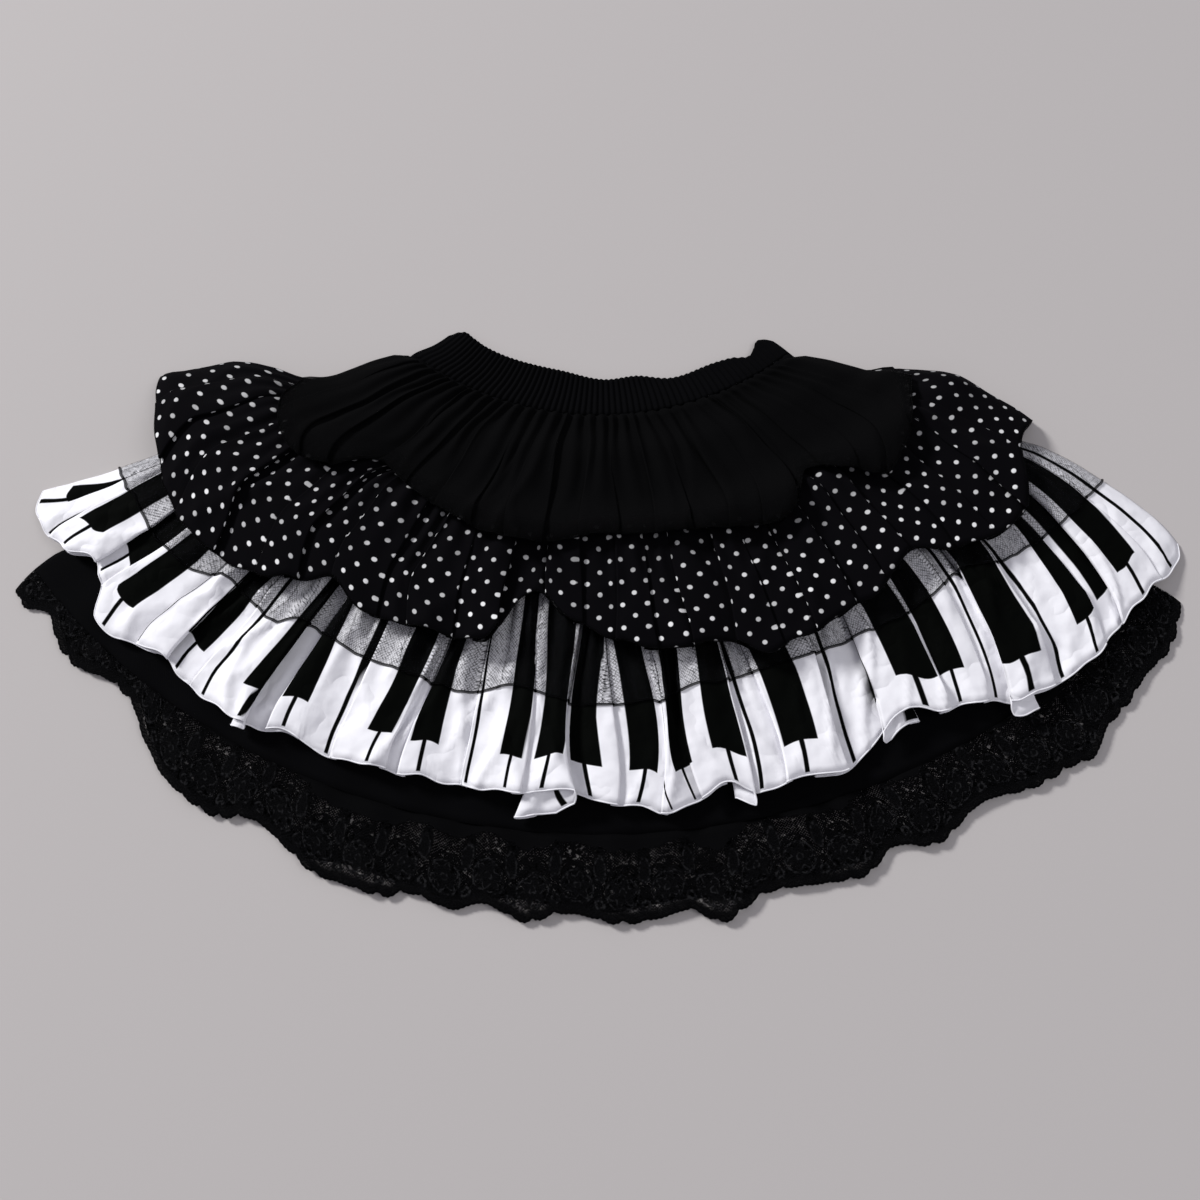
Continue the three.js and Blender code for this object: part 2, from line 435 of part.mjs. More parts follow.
const underRows = [262, 282, 297, 353, 383, 394, 422, 449, 478, 482];
const pieces = [
  { name: 'top_flounce_back', slot: 'black', thickness: wall, flat: 0,
    grid: backGrid('flounce', reaches.flounceTop, droop(reaches.flounceBackHem, 26), [201, 236, 266, 294], 25, 3) },
  { name: 'dot_flounce_back', slot: 'dots', thickness: wall, flat: 0,
    grid: backGrid('dot', reaches.dotTop, droop(reaches.dotBackHem, 18), [240, 262, 278, 296, 325, 352], 31, 3) },
  { name: 'tulle_flounce_back', slot: 'net', thickness: netWall, flat: 0,
    grid: backGrid('net', reaches.keyTop, level(reaches.netBackHem), [300, 316, 341, 371, 392], 31, 3) },
  { name: 'key_flounce_back', slot: 'keys', thickness: wall, flat: 0,
    grid: backGrid('key', reaches.keyTop, level(reaches.keyBackHem), [300, 325, 354, 383, 394, 423, 447], 34, 3) },
  { name: 'waistband_back', slot: 'black', thickness: wall, flat: 0,
    grid: innerBack(waistCurve, level(reaches.waistFoot - half), [172, 198], 21, 50) },
  { name: 'yoke_back', slot: 'black', thickness: wall, flat: 0,
    grid: innerBack(reaches.waistFoot + half, level(reaches.yokeFoot - half), [198, 212, 237, 262], 22, 3) },
  { name: 'underskirt_back', slot: 'black', thickness: wall, flat: 0,
    grid: innerBack(reaches.yokeFoot + half, level(reaches.underHem - half), underRows, 25, 3) },
  { name: 'lace_back', slot: 'lace', thickness: wall, flat: 0,
    grid: innerBack(reaches.underHem + half, laceBackCurve, [482, 522], 61, 50) },
  { name: 'waistband_front', slot: 'black', thickness: wall,
    grid: innerFront(waistCurve, level(reaches.waistFoot - half), [172, 198], 61) },
  { name: 'yoke_front', slot: 'black', thickness: wall,
    grid: innerFront(reaches.waistFoot + half, level(reaches.yokeFoot - half), [198, 212, 237, 262], 29) },
  { name: 'underskirt_front', slot: 'black', thickness: wall,
    grid: innerFront(reaches.yokeFoot + half, level(reaches.underHem - half), underRows, 31) },
  { name: 'lace_front', slot: 'lace', thickness: wall,
    grid: innerFront(reaches.underHem + half, scallops, [482, 530], 193, 5.8) },
  { name: 'key_flounce_front', slot: 'keys', thickness: wall, grid: keyGrid },
  { name: 'tulle_flounce_front', slot: 'net', thickness: netWall,
    grid: movedOut(netGrid(), wall / 2 + netWall / 2 + air) },
  { name: 'dot_flounce_front', slot: 'dots', thickness: wall,
    grid: frontGrid('dot', dotColumns, curve(dotHem, 'turn', 'reach'), bands(6), reaches.dotTop) },
  { name: 'top_flounce_front', slot: 'black', thickness: wall,
    grid: frontGrid('flounce', flounceColumns, curve(flounceHem, 'turn', 'reach'), bands(4), reaches.flounceTop) },
];

const skirt = new THREE.Group();
for (const piece of pieces) {
  const flat = piece.flat === undefined ? null : piece.flat;
  const mesh = new THREE.Mesh(solidFrom(piece.grid, piece.thickness, flat), materials[piece.slot]);
  mesh.name = piece.name;
  skirt.add(mesh);
}

export default skirt;
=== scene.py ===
import json
import math

import bpy
import numpy as np
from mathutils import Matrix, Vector

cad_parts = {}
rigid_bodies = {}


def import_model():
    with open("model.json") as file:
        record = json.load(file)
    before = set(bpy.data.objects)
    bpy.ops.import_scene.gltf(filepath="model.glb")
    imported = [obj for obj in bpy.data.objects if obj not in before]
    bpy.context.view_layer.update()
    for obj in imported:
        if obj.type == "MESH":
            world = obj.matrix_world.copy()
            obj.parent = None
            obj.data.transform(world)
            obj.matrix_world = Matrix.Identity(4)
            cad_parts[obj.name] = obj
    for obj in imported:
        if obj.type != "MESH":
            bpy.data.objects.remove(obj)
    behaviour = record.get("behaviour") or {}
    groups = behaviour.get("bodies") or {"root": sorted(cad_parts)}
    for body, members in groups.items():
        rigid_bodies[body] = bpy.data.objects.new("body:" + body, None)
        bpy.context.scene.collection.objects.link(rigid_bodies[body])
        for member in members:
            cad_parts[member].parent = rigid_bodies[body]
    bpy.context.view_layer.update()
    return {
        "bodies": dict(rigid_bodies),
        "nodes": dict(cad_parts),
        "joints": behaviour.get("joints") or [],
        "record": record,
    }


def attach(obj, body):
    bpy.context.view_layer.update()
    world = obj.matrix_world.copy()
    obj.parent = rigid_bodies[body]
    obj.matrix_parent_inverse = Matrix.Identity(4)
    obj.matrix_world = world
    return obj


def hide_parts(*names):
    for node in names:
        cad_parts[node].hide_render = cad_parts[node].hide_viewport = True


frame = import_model()
print("frame loaded")

# The skirt lies like a fan. A turn is the angle in degrees round fanCentre, 0 towards the hem and minus to
# the left. A reach is the distance from it in mm, and heights are mm over the floor.
fanCentre = (1.4, 332.4)
wall = 1.2  # a CAD cloth wall
seam = 0.3  # between pieces that are sewn together
air = 0.45  # between pieces that lie on each other
shell = 0.5  # real cloth with its seam allowance
keyPitch = 35.0  # width of one printed white key

tops = {"flounce": 201, "dot": 240, "net": 300, "key": 300}  # reach of each tier's gathered seam
frontHems = {"flounce": 300, "dot": 375, "key": 465}  # usual reach of each front hem
backHems = {"flounce": 294, "dot": 352, "net": 392, "key": 447}
backSlab = {"flounce": 2.4, "dot": 2.5, "net": 1.8, "key": 2.8, "inner": 2.2}  # height a back piece takes
frontSlab = {"inner": 3.2, "key": 13.5, "net": 1.9, "dot": 9.5, "flounce": 7.5}  # and a front piece
backOrder = ["flounce", "dot", "net", "key"]  # from the floor up
netInset = 0.4  # degrees that the net's sides stay inside the printed ruffle's

# how the pile lies, in mm
pile = {
    "fadeStart": 3,  # past a tier's seam or hem, where its cover starts to come down
    "fadeEnd": 30,  # and where it is down
    "seamRise": 0.3,  # share of a front tier's height at its seam
    "riseBefore": 6,
    "fullRise": 0.8,  # share of the way to the hem where the full height is reached
    "ontoKeys": (262, 297),  # where the tiers above climb onto the printed ruffle
    "ontoDots": (206, 237),  # where the top flounce climbs onto the dotted one
    "underDots": (244, 262),  # where the top flounce's sides climb onto the dotted one's
    "slack": 0.6,
    "sideRoom": 0.5,
    "dotTop": 1.4,  # the dotted flounce's highest folds over its middle height
    "squareness": 7,  # how squarely the pile comes down at its sides
}

# reach, half spread on the left, half spread on the right
sideRows = {
    "inner": [(163, 38.6, 39.2), (182, 39.6, 41.4), (198, 41.2, 41.8), (262, 43.4, 43.6), (350, 46.2, 45.8),
              (440, 49.0, 47.4), (470, 50.2, 48.2), (500, 49.6, 48.6), (535, 46.6, 47.4)],
    "flounce": [(200, 42.0, 41.4), (208, 44.4, 44.2), (225, 46.4, 46.8), (250, 48.4, 49.4), (272, 50.2, 51.0),
                (300, 49.4, 48.6), (320, 46.0, 45.0)],
    "dot": [(240, 45.6, 46.6), (255, 48.2, 51.0), (265, 50.8, 52.8), (278, 55.0, 54.4), (290, 57.4, 55.6),
            (302, 58.9, 56.2), (330, 60.7, 56.2), (345, 61.4, 56.2), (395, 57.0, 54.6)],
    "key": [(300, 48.6, 48.0), (350, 51.4, 52.0), (374, 52.8, 53.6), (400, 53.8, 54.0), (432, 55.2, 54.0),
            (452, 56.0, 53.7), (465, 56.0, 53.4), (485, 55.8, 52.4)],
}
sideRows["net"] = [(reach, left - netInset, right - netInset) for reach, left, right in sideRows["key"]]

# turn, reach of each edge as it lies
waistEdge = [
    (-39.4, 170), (-38.2, 164), (-36.6, 161), (-34, 162), (-30, 163.5), (-25, 164), (-10, 164), (1, 169),
    (9, 168), (17, 175), (26, 174.5), (31, 177), (34.3, 183), (36.6, 180), (38.6, 176.5), (40, 177),
    (41.4, 184)]
flounceHem = [
    (-48.4, 268), (-46, 292), (-42, 311), (-35, 304), (-30, 282), (-26, 289), (-21, 297), (-14, 306),
    (-8, 307), (0, 299), (12, 302), (22, 312), (24.5, 305), (27, 284), (32, 298), (38, 316), (41, 308),
    (46, 282), (48.2, 274)]
dotHem = [
    (-61.4, 338), (-56, 355), (-50, 377), (-46, 390), (-39, 394), (-34, 388), (-31, 380), (-27, 367),
    (-23, 378), (-17, 376), (-11, 375), (-9.6, 362), (-8, 342), (-6, 338), (-2, 357), (4, 372), (8, 376),
    (12, 375), (15, 389), (18, 387), (22, 384), (25, 378), (27, 380), (32, 365), (37, 381), (41, 390),
    (44, 391), (47, 381), (50, 360), (56.2, 357)]
netHem = [
    (-54, 402), (-48, 405), (-44, 411), (-40, 409), (-36, 400), (-30, 407), (-28, 397), (-23, 401),
    (-15, 404), (-11, 405), (-8, 397), (-2, 404), (5, 403), (10, 397), (21, 395), (28, 396), (32, 391),
    (38, 406), (45, 413), (53, 417)]
keyHem = [
    (-56, 452), (-54, 461), (-51.5, 461), (-49, 459), (-47, 447), (-44.6, 456), (-43, 473), (-39, 468),
    (-36, 462), (-33, 468), (-27, 469), (-25, 463), (-21, 466), (-14, 462), (-7, 462), (-2, 459), (1, 465),
    (5, 471), (8, 465), (10, 460), (12, 468), (16, 466), (19, 469), (22, 457), (24.5, 448), (27, 459),
    (31, 467), (33.4, 478), (40, 485), (47, 480), (50.4, 485), (52.4, 484), (53.4, 479)]
laceHem = [
    (-49.6, 499), (-48, 502), (-46, 494), (-44, 500), (-41, 502), (-38, 494), (-36, 497), (-34, 512),
    (-32, 523), (-28, 526), (-25, 519), (-22, 526), (-19, 535), (-15, 534), (-13, 529), (-10, 535),
    (-8, 529), (-5, 535), (-3, 530), (1, 534), (4, 534), (6, 530), (8, 538), (11, 526), (15, 530),
    (18, 530), (20, 522), (23, 528), (27, 520), (31, 526), (34, 527), (36, 532), (38, 523), (42, 517),
    (45, 515), (48.6, 504)]

# Each row is a fold's edge: its turn at the hem and at the gathered seam, the height share left and right
# of it, and the cloth left and right of it, whose difference is tucked under the higher side.
keyFolds = [  # cloth in white keys
    (-53.4, -48.0, 0.10, 0.34, -42.60, -42.42), (-51.0, -47.2, 0.20, 0.62, -41.90, -40.35),
    (-46.6, -43.4, 0.70, 0.22, -39.38, -38.24),
    (-44.4, -41.2, 0.30, 0.45, -37.64, -37.60), (-38.5, -34.6, 0.12, 0.78, -36.13, -34.92),
    (-35.9, -32.8, 0.78, 0.20, -34.36, -33.25), (-33.0, -30.6, 0.22, 0.50, -32.40, -32.34),
    (-27.6, -26.0, 0.84, 0.08, -30.88, -30.68), (-25.9, -24.8, 0.08, 0.74, -30.32, -29.30),
    (-20.6, -19.6, 0.30, 0.46, -27.86, -27.82), (-16.4, -14.8, 0.66, 0.26, -26.62, -26.56),
    (-15.2, -13.6, 0.26, 0.62, -26.42, -26.36), (-10.4, -10.2, 0.24, 0.36, -25.12, -25.08),
    (-6.0, -6.6, 0.80, 0.58, -23.62, -23.40), (-1.9, -1.8, 0.94, 0.08, -22.36, -20.33),
    (1.2, 0.8, 0.58, 0.28, -19.50, -19.44), (4.6, 4.0, 0.34, 0.56, -18.48, -18.42),
    (7.7, 6.4, 0.16, 0.80, -16.72, -15.72), (11.4, 9.8, 0.58, 0.22, -14.68, -14.20),
    (14.0, 12.8, 0.30, 0.60, -13.42, -13.36), (18.7, 17.8, 0.82, 0.14, -12.32, -11.25),
    (22.2, 22.6, 0.20, 0.72, -10.22, -9.74), (27.8, 27.9, 0.74, 0.34, -8.66, -8.36),
    (31.0, 32.0, 0.50, 0.22, -7.30, -7.26), (32.6, 33.8, 0.12, 0.72, -6.72, -6.27),
    (36.4, 38.6, 0.74, 0.20, -5.66, -4.32), (41.9, 41.6, 0.62, 0.34, -2.70, -2.42),
    (44.2, 44.4, 0.20, 0.70, -2.06, -1.66), (49.4, 46.6, 0.60, 0.30, -0.50, -0.44)]
dotFolds = [  # the last number is the tucked cloth in mm
    (-55.0, -41.0, 0.20, 0.60, 0, 16), (-50.4, -38.0, 0.70, 0.24, 0, 10), (-45.2, -34.6, 0.30, 0.62, 0, 6),
    (-39.6, -31.0, 0.74, 0.20, 0, 26), (-34.6, -27.6, 0.34, 0.58, 0, 6), (-30.4, -24.4, 0.64, 0.22, 0, 16),
    (-26.8, -21.8, 0.16, 0.82, 0, 30), (-21.8, -18.0, 0.50, 0.26, 0, 6), (-18.4, -15.0, 0.26, 0.60, 0, 10),
    (-14.2, -11.8, 0.56, 0.34, 0, 4), (-9.8, -8.4, 0.90, 0.10, 0, 34), (-5.4, -5.2, 0.10, 0.66, 0, 22),
    (-1.8, -2.0, 0.60, 0.30, 0, 8), (1.6, 1.0, 0.32, 0.60, 0, 6), (5.4, 4.2, 0.62, 0.28, 0, 14),
    (9.0, 7.0, 0.24, 0.56, 0, 6), (13.0, 10.4, 0.18, 0.78, 0, 24), (17.0, 13.8, 0.60, 0.30, 0, 8),
    (20.6, 16.6, 0.30, 0.62, 0, 6), (24.8, 20.0, 0.70, 0.22, 0, 22), (28.6, 23.2, 0.60, 0.34, 0, 6),
    (32.2, 26.0, 0.78, 0.12, 0, 28), (36.8, 29.6, 0.34, 0.66, 0, 8), (40.8, 32.8, 0.62, 0.28, 0, 12),
    (45.0, 36.2, 0.30, 0.64, 0, 8), (49.4, 39.6, 0.72, 0.18, 0, 16)]
flounceFolds = [  # as the dotted ones
    (-44.6, -38.6, 0.30, 0.64, 0, 8), (-40.0, -34.8, 0.60, 0.28, 0, 6), (-35.6, -31.0, 0.72, 0.26, 0, 14),
    (-29.8, -26.2, 0.16, 0.70, 0, 16), (-25.2, -22.0, 0.56, 0.30, 0, 6), (-20.6, -18.2, 0.28, 0.60, 0, 8),
    (-15.8, -14.0, 0.64, 0.34, 0, 6), (-11.4, -10.2, 0.32, 0.62, 0, 6), (-7.0, -6.2, 0.66, 0.22, 0, 12),
    (-2.4, -2.2, 0.28, 0.58, 0, 6), (2.2, 2.0, 0.56, 0.26, 0, 8), (6.8, 6.0, 0.30, 0.64, 0, 8),
    (11.2, 9.8, 0.60, 0.32, 0, 6), (15.8, 14.0, 0.28, 0.62, 0, 8), (20.2, 17.8, 0.52, 0.74, 0, 4),
    (24.6, 21.8, 0.86, 0.12, 0, 24), (29.0, 25.6, 0.34, 0.60, 0, 8), (33.4, 29.4, 0.60, 0.36, 0, 6),
    (38.0, 33.4, 0.40, 0.66, 0, 6), (42.2, 36.8, 0.66, 0.28, 0, 10)]
# at a printed fold's hem turn: half width of its tuck in degrees, and the hem's extra reach in it
hemFlaps = {-27.6: (0.9, 4.0), -1.9: (4.2, 13.0), 11.4: (1.2, 8.0), 22.2: (3.0, 8.0), 32.6: (1.9, 9.0)}

roundness = 0.8  # how rounded a curve runs through its rows
fullCircle = 6.283
tiny = 1e-9


def clamp01(value):
    return np.clip(value, 0.0, 1.0)


def smooth(low, high, value):
    share = clamp01((value - low) / (high - low))
    return share * share * (3 - 2 * share)


def mix(first, second, share):
    return first + (second - first) * share


def curve(rows, column=1):  # a smooth line through the rows, by their first column
    xs = np.array([row[0] for row in rows], float)
    ys = np.array([row[column] for row in rows], float)
    slopes = np.empty_like(ys)
    slopes[1:-1] = (ys[2:] - ys[:-2]) / (xs[2:] - xs[:-2])
    slopes[0] = (ys[1] - ys[0]) / (xs[1] - xs[0])
    slopes[-1] = (ys[-1] - ys[-2]) / (xs[-1] - xs[-2])

    def at(value):
        value = np.clip(value, xs[0], xs[-1])
        i = np.clip(np.searchsorted(xs, value, side="right") - 1, 0, len(xs) - 2)
        span = xs[i + 1] - xs[i]
        t = (value - xs[i]) / span
        ease = t * (1 - t) ** 2 * span * slopes[i] - t * t * (1 - t) * span * slopes[i + 1]
        return mix(ys[i], ys[i + 1], t * t * (3 - 2 * t)) + roundness * ease
    return at


sides = {name: (curve(rows, 1), curve(rows, 2)) for name, rows in sideRows.items()}


def turnAt(name, share, reach):
    left, right = sides[name]
    return share * np.where(share < 0, left(reach), right(reach))


def shareOf(name, turn, reach):
    left, right = sides[name]
    return turn / np.where(turn < 0, left(reach), right(reach))


def present(name, reach):  # 1 where a back tier lies, 0 away from it
    top, hem = tops[name], backHems[name]
    begun = smooth(top - pile["fadeEnd"], top - pile["fadeStart"], reach)
    return begun * (1 - smooth(hem + pile["fadeStart"], hem + pile["fadeEnd"], reach))


def backFloor(name, reach):  # height on which a back tier lies
    height = 0 * reach
    for lower in backOrder:
        if lower == name:
            break
        height = height + backSlab[lower] * present(lower, reach)
    return height


def frontRise(name, reach):  # how high a front tier's folds stand
    full = mix(tops[name], frontHems[name], pile["fullRise"])
    grown = smooth(tops[name] - pile["riseBefore"], full, reach)
    return frontSlab[name] * (pile["seamRise"] + (1 - pile["seamRise"]) * grown)


def frontFloor(name, reach):  # height on which a front tier lies
    height = backFloor("inner", reach) + backSlab["inner"] + air
    if name == "inner":
        return height
    height = height + frontSlab["inner"]
    if name == "key":
        return height
    ruffle = frontRise("key", reach) + wall + 2 * frontSlab["net"]
    height = height + smooth(*pile["ontoKeys"], reach) * ruffle
    if name == "dot":
        return height
    return height + smooth(*pile["ontoDots"], reach) * (frontRise("dot", reach) + wall + air + pile["slack"])


def sideFloor(name, reach):  # height of a front tier's side edge, on its back tier
    return backFloor(name, reach) + wall + seam + pile["sideRoom"]


def crown(share):  # 1 in the middle of the pile, 0 at its sides
    return np.sqrt(1 - np.minimum(1, np.abs(share)) ** pile["squareness"])


def dotTopAt(turn, reach):  # top of the dotted flounce
    over = crown(np.clip(shareOf("dot", turn, reach), -1, 1))
    high = frontFloor("dot", reach) + frontRise("dot", reach) + pile["dotTop"]
    return mix(sideFloor("dot", reach), high, over) + wall + air


def place(turn, reach, height):
    angle = np.radians(turn)
    return np.stack([fanCentre[0] + reach * np.sin(angle), fanCentre[1] - reach * np.cos(angle),
                     height + 0 * turn], axis=-1)


waves = {"along": (0.6, 1.9), "across": (-1.0, 1.0), "phase": (0, 6.28)}


def ripple(along, across, seed, count=5):  # smooth unevenness, the same each run
    rng = np.random.default_rng(seed)
    total = 0 * (along + across)
    for _ in range(count):
        a, b, phase = (rng.uniform(*waves[part]) for part in ("along", "across", "phase"))
        total = total + np.sin(along * a + across * b + phase) / count ** 0.5
    return total


crease = {"kinds": 5, "lean": (-1.0, 1.0), "every": (11, 24), "phase": (0, 3), "wave": 4, "wide": 30,
          "waveTall": 26, "patchTall": 24, "pace": 1.6, "sharpness": 1.7, "cover": 1.1, "threshold": 0.05}


def creases(along, up, seed):  # sharp ridges running every way across the cloth, in patches
    rng = np.random.default_rng(seed + 40)
    total = 0 * along
    wide = along / crease["wide"]
    for i in range(crease["kinds"]):
        lean, every, phase = (rng.uniform(*crease[part]) for part in ("lean", "every", "phase"))
        wave = crease["wave"] * ripple(wide, up / crease["waveTall"], seed + i, 3)
        way = along * math.cos(lean) + up * math.sin(lean) + wave
        ridge = 1 - np.abs(np.sin(way / every * crease["pace"] + phase))
        patch = crease["cover"] * ripple(wide, up / crease["patchTall"], seed + 10 + i, 3)
        total = total + ridge ** crease["sharpness"] * clamp01(patch - crease["threshold"])
    return total


# The columns of a gathered piece, from left to right: hem turn, seam turn, height share, cloth in mm, extra
# reach at the hem, and the number of the panel between two folds, or inFold.
inFold = -1
fold = {"leastHalf": 0.28, "roomShare": 0.48, "seamHalf": 0.45, "puff": 0.1, "drop": 0.42, "bulge": 0.13,
        "steps": 6}


def foldPath(folds, detail, clothUnit=1.0, flaps=None):
    ends, step, clothPerDegree = detail["ends"], detail["step"], detail["mmPerDegree"]
    columns = []
    before = (ends[0][0], ends[0][1], 0.0, ends[0][2] * clothUnit)  # hem, seam, height and cloth so far
    for i, (hem, top, left, right, low, high) in enumerate(folds):
        low, high = low * clothUnit, high * clothUnit
        if clothUnit == 1.0:  # the table gives the tucked cloth alone
            low = before[3] + (hem - before[0]) * clothPerDegree
            high += low
        after = folds[i + 1][0] if i + 1 < len(folds) else ends[1][0]
        room = hem - before[0] if left > right else after - hem
        half, extra = (flaps or {}).get(hem, (None, 0.0))
        if half is None:
            half = max(fold["leastHalf"], min((high - low) / 2 / clothPerDegree, fold["roomShare"] * room))
        addPanel(columns, i, before, (hem, top - fold["seamHalf"], left, low), step)
        addTuck(columns, (hem, top, left, right, low, high), half, extra, step)
        before = (hem, top + fold["seamHalf"], right, high)
    lastCloth = ends[1][2] * clothUnit
    if clothUnit == 1.0:
        lastCloth = before[3] + (ends[1][0] - before[0]) * clothPerDegree
    addPanel(columns, len(folds), before, (ends[1][0], ends[1][1], 0.0, lastCloth), step, last=1)
    return np.array(columns)


def addPanel(columns, number, start, end, step, last=0):  # the cloth between two folds
    count = max(4, int((end[0] - start[0]) / step))
    for j in range(count + last):
        t = j / count
        hem, top, _, cloth = (mix(start[k], end[k], t) for k in range(4))
        height = mix(start[2], end[2], t * t * (3 - 2 * t)) + fold["puff"] * math.sin(math.pi * t)
        columns.append((hem, top, height, cloth, 0.0, number))


def addTuck(columns, row, half, extra, step):  # the cloth doubles back under the higher side of a fold
    hem, top, left, right, low, high = row
    way = -1 if left > right else 1
    upper, lower = max(left, right), min(left, right)
    drop = (upper - lower) * fold["drop"]
    bulge, steps = fold["bulge"], fold["steps"]
    count = max(2, int(half / step))
    bends = [math.pi * k / steps for k in range(steps + 1)]
    plies = range(1, count)
    points = [(hem - way * bulge * math.sin(a), upper - drop * (1 - math.cos(a)) / 2) for a in bends]
    points += [(hem + way * half * k / count, mix(upper - drop, lower + drop, k / count)) for k in plies]
    points += [(hem + way * (half + bulge * math.sin(a)), lower + drop * (1 + math.cos(a)) / 2)
               for a in bends]
    points += [(hem + way * half * (1 - k / count), lower) for k in plies]
    if way > 0:
        points.reverse()
    for k, (turn, height) in enumerate(points):
        t = k / len(points)
        seamTurn = top - fold["seamHalf"] + 2 * fold["seamHalf"] * t
        swell = min(1.0, 4 * t, 4 * (1 - t))
        columns.append((turn, seamTurn, height, mix(low, high, t), extra * swell, inFold))


# Cloth coordinate of every grid point. A panel between two folds lies flat, so it keeps its true width on
# its way up from the hem, and the rest of its cloth goes into the folds.
leastWidth = 0.3


def flatPanels(columns, turns, reaches, anchors, slides):
    cloth = np.tile(columns[:, 3], (len(turns), 1))
    number = columns[:, 5]
    ends = []
    for panel in range(int(number.max()) + 1):
        at = np.nonzero(number == panel)[0]
        wide = (turns[:, at[-1]] - turns[:, at[0]]) * reaches[:, at].mean(axis=1)
        share = np.clip(wide / wide[-1], leastWidth, 1.0)
        middle = mix(columns[at[0], 3], columns[at[-1], 3], anchors.get(panel, 0.5))
        cloth[:, at] = middle + (columns[at, 3] - middle) * share[:, None]
        cloth[:, at] += slides.get(panel, 0.0) * np.linspace(1, 0, len(turns))[:, None]
        ends.append((at[0], at[-1]))
    for (_, last), (first, _) in zip(ends, ends[1:]):
        inside = np.arange(last + 1, first)
        t = (inside - last) / (first - last)
        cloth[:, inside] = mix(cloth[:, last:last + 1], cloth[:, first:first + 1], t[None, :])
    return cloth


drape = {  # how every front tier falls
    "bendPace": 0.5, "bendLean": 3.1, "bendFrom": (0, 0.25), "bendPower": 4,
    "sway": 0.26, "swayPace": 0.55, "swayTall": 5, "swayFrom": (0.05, 0.4), "swayPower": 6,
    "crumpleAt": 7, "crumpleWide": 11,  # degrees: where the folds are crumpled most
    "raggedPace": 1.3, "gatherEnds": (0.05, 0.95), "gatherJitter": 1.5, "gatherWide": 40,
    "mmPerDegree": 8.0, "dentWide": 24, "dentTall": 20, "dentDeepest": -0.7,
    "creaseMean": 0.35, "creaseFrom": (0.15, 0.6), "stillSides": 12, "sideHeight": 0.9, "clearance": 0.4,
    "topRoom": 0.6,
}
dotLine = 395  # the rows of dots follow this reach, not the uneven hem


def frontSurface(name, columns, hemRows, level, detail):  # one row, level 0 at the seam, 1 at the hem
    hemTurn, seamTurn, rise, cloth, extra = columns[:, :5].T
    seed = detail["seed"]
    hemShare = np.clip(shareOf(name, hemTurn, frontHems[name]), -1, 1)
    seamShare = np.clip(shareOf(name, seamTurn, tops[name]), -1, 1)
    ragged = detail.get("ragged", 0) * ripple(hemTurn * drape["raggedPace"], 0 * hemTurn, seed + 9, 5)
    hem = curve(hemRows)(hemTurn) + extra + ragged
    reach = mix(tops[name], hem, level)
    share = mix(seamShare, hemShare, level)

    bend = detail["bend"] * np.sin(hemTurn * drape["bendPace"] + drape["bendLean"] * level + seed)
    bend = bend * smooth(*drape["bendFrom"], level) * (1 - level ** drape["bendPower"])
    swayAlong = level * drape["swayTall"] + 0 * share
    sway = drape["sway"] * ripple(hemTurn * drape["swayPace"], swayAlong, seed + 5, 4)
    sway = sway * smooth(*drape["swayFrom"], level) * (1 - level ** drape["swayPower"])
    crumpled = np.exp(-((hemTurn - drape["crumpleAt"]) / drape["crumpleWide"]) ** 2)
    sway = sway * (1 + detail.get("crumple", 0) * crumpled)
    turn = turnAt(name, share, reach) + (bend + sway) * (1 - np.abs(share) ** drape["stillSides"])

    jitter = drape["gatherJitter"] * ripple(cloth / drape["gatherWide"], 0 * cloth, 7)
    gather = detail["gather"] * (0.5 + 0.5 * np.sin(cloth * fullCircle / detail["gatherEvery"] + jitter))
    gather = gather * (1 - smooth(*drape["gatherEnds"], level))
    around = hemTurn * drape["mmPerDegree"]  # the plies of a fold wrinkle together
    dents = ripple(around / drape["dentWide"], reach / drape["dentTall"], seed, 6) * detail["dent"]
    sharp = detail["crease"] * (creases(around, reach, seed) - drape["creaseMean"])
    fine = np.maximum((dents + sharp) * smooth(*drape["creaseFrom"], level), drape["dentDeepest"])

    side = backFloor(name, reach) + drape["sideHeight"]
    if name == "flounce":
        side = mix(side, dotTopAt(turn, reach), smooth(*pile["underDots"], reach))
    low = frontFloor(name, reach) + shell + drape["clearance"] + gather + fine
    height = mix(side, low + rise * (frontRise(name, reach) - drape["topRoom"]), crown(share))
    hemLine = dotLine if name == "dot" else hem
    return place(turn, reach, height), hemLine - reach, turn, reach


def unit(vectors):
    return vectors / np.maximum(np.linalg.norm(vectors, axis=-1, keepdims=True), tiny)


def normalsOf(grid):
    return unit(np.cross(np.gradient(grid, axis=0), np.gradient(grid, axis=1)))


def addPiece(name, mesh):
    mesh.polygons.foreach_set("use_smooth", np.ones(len(mesh.polygons), dtype=bool))
    piece = bpy.data.objects.new(name, mesh)
    bpy.context.collection.objects.link(piece)
    return piece


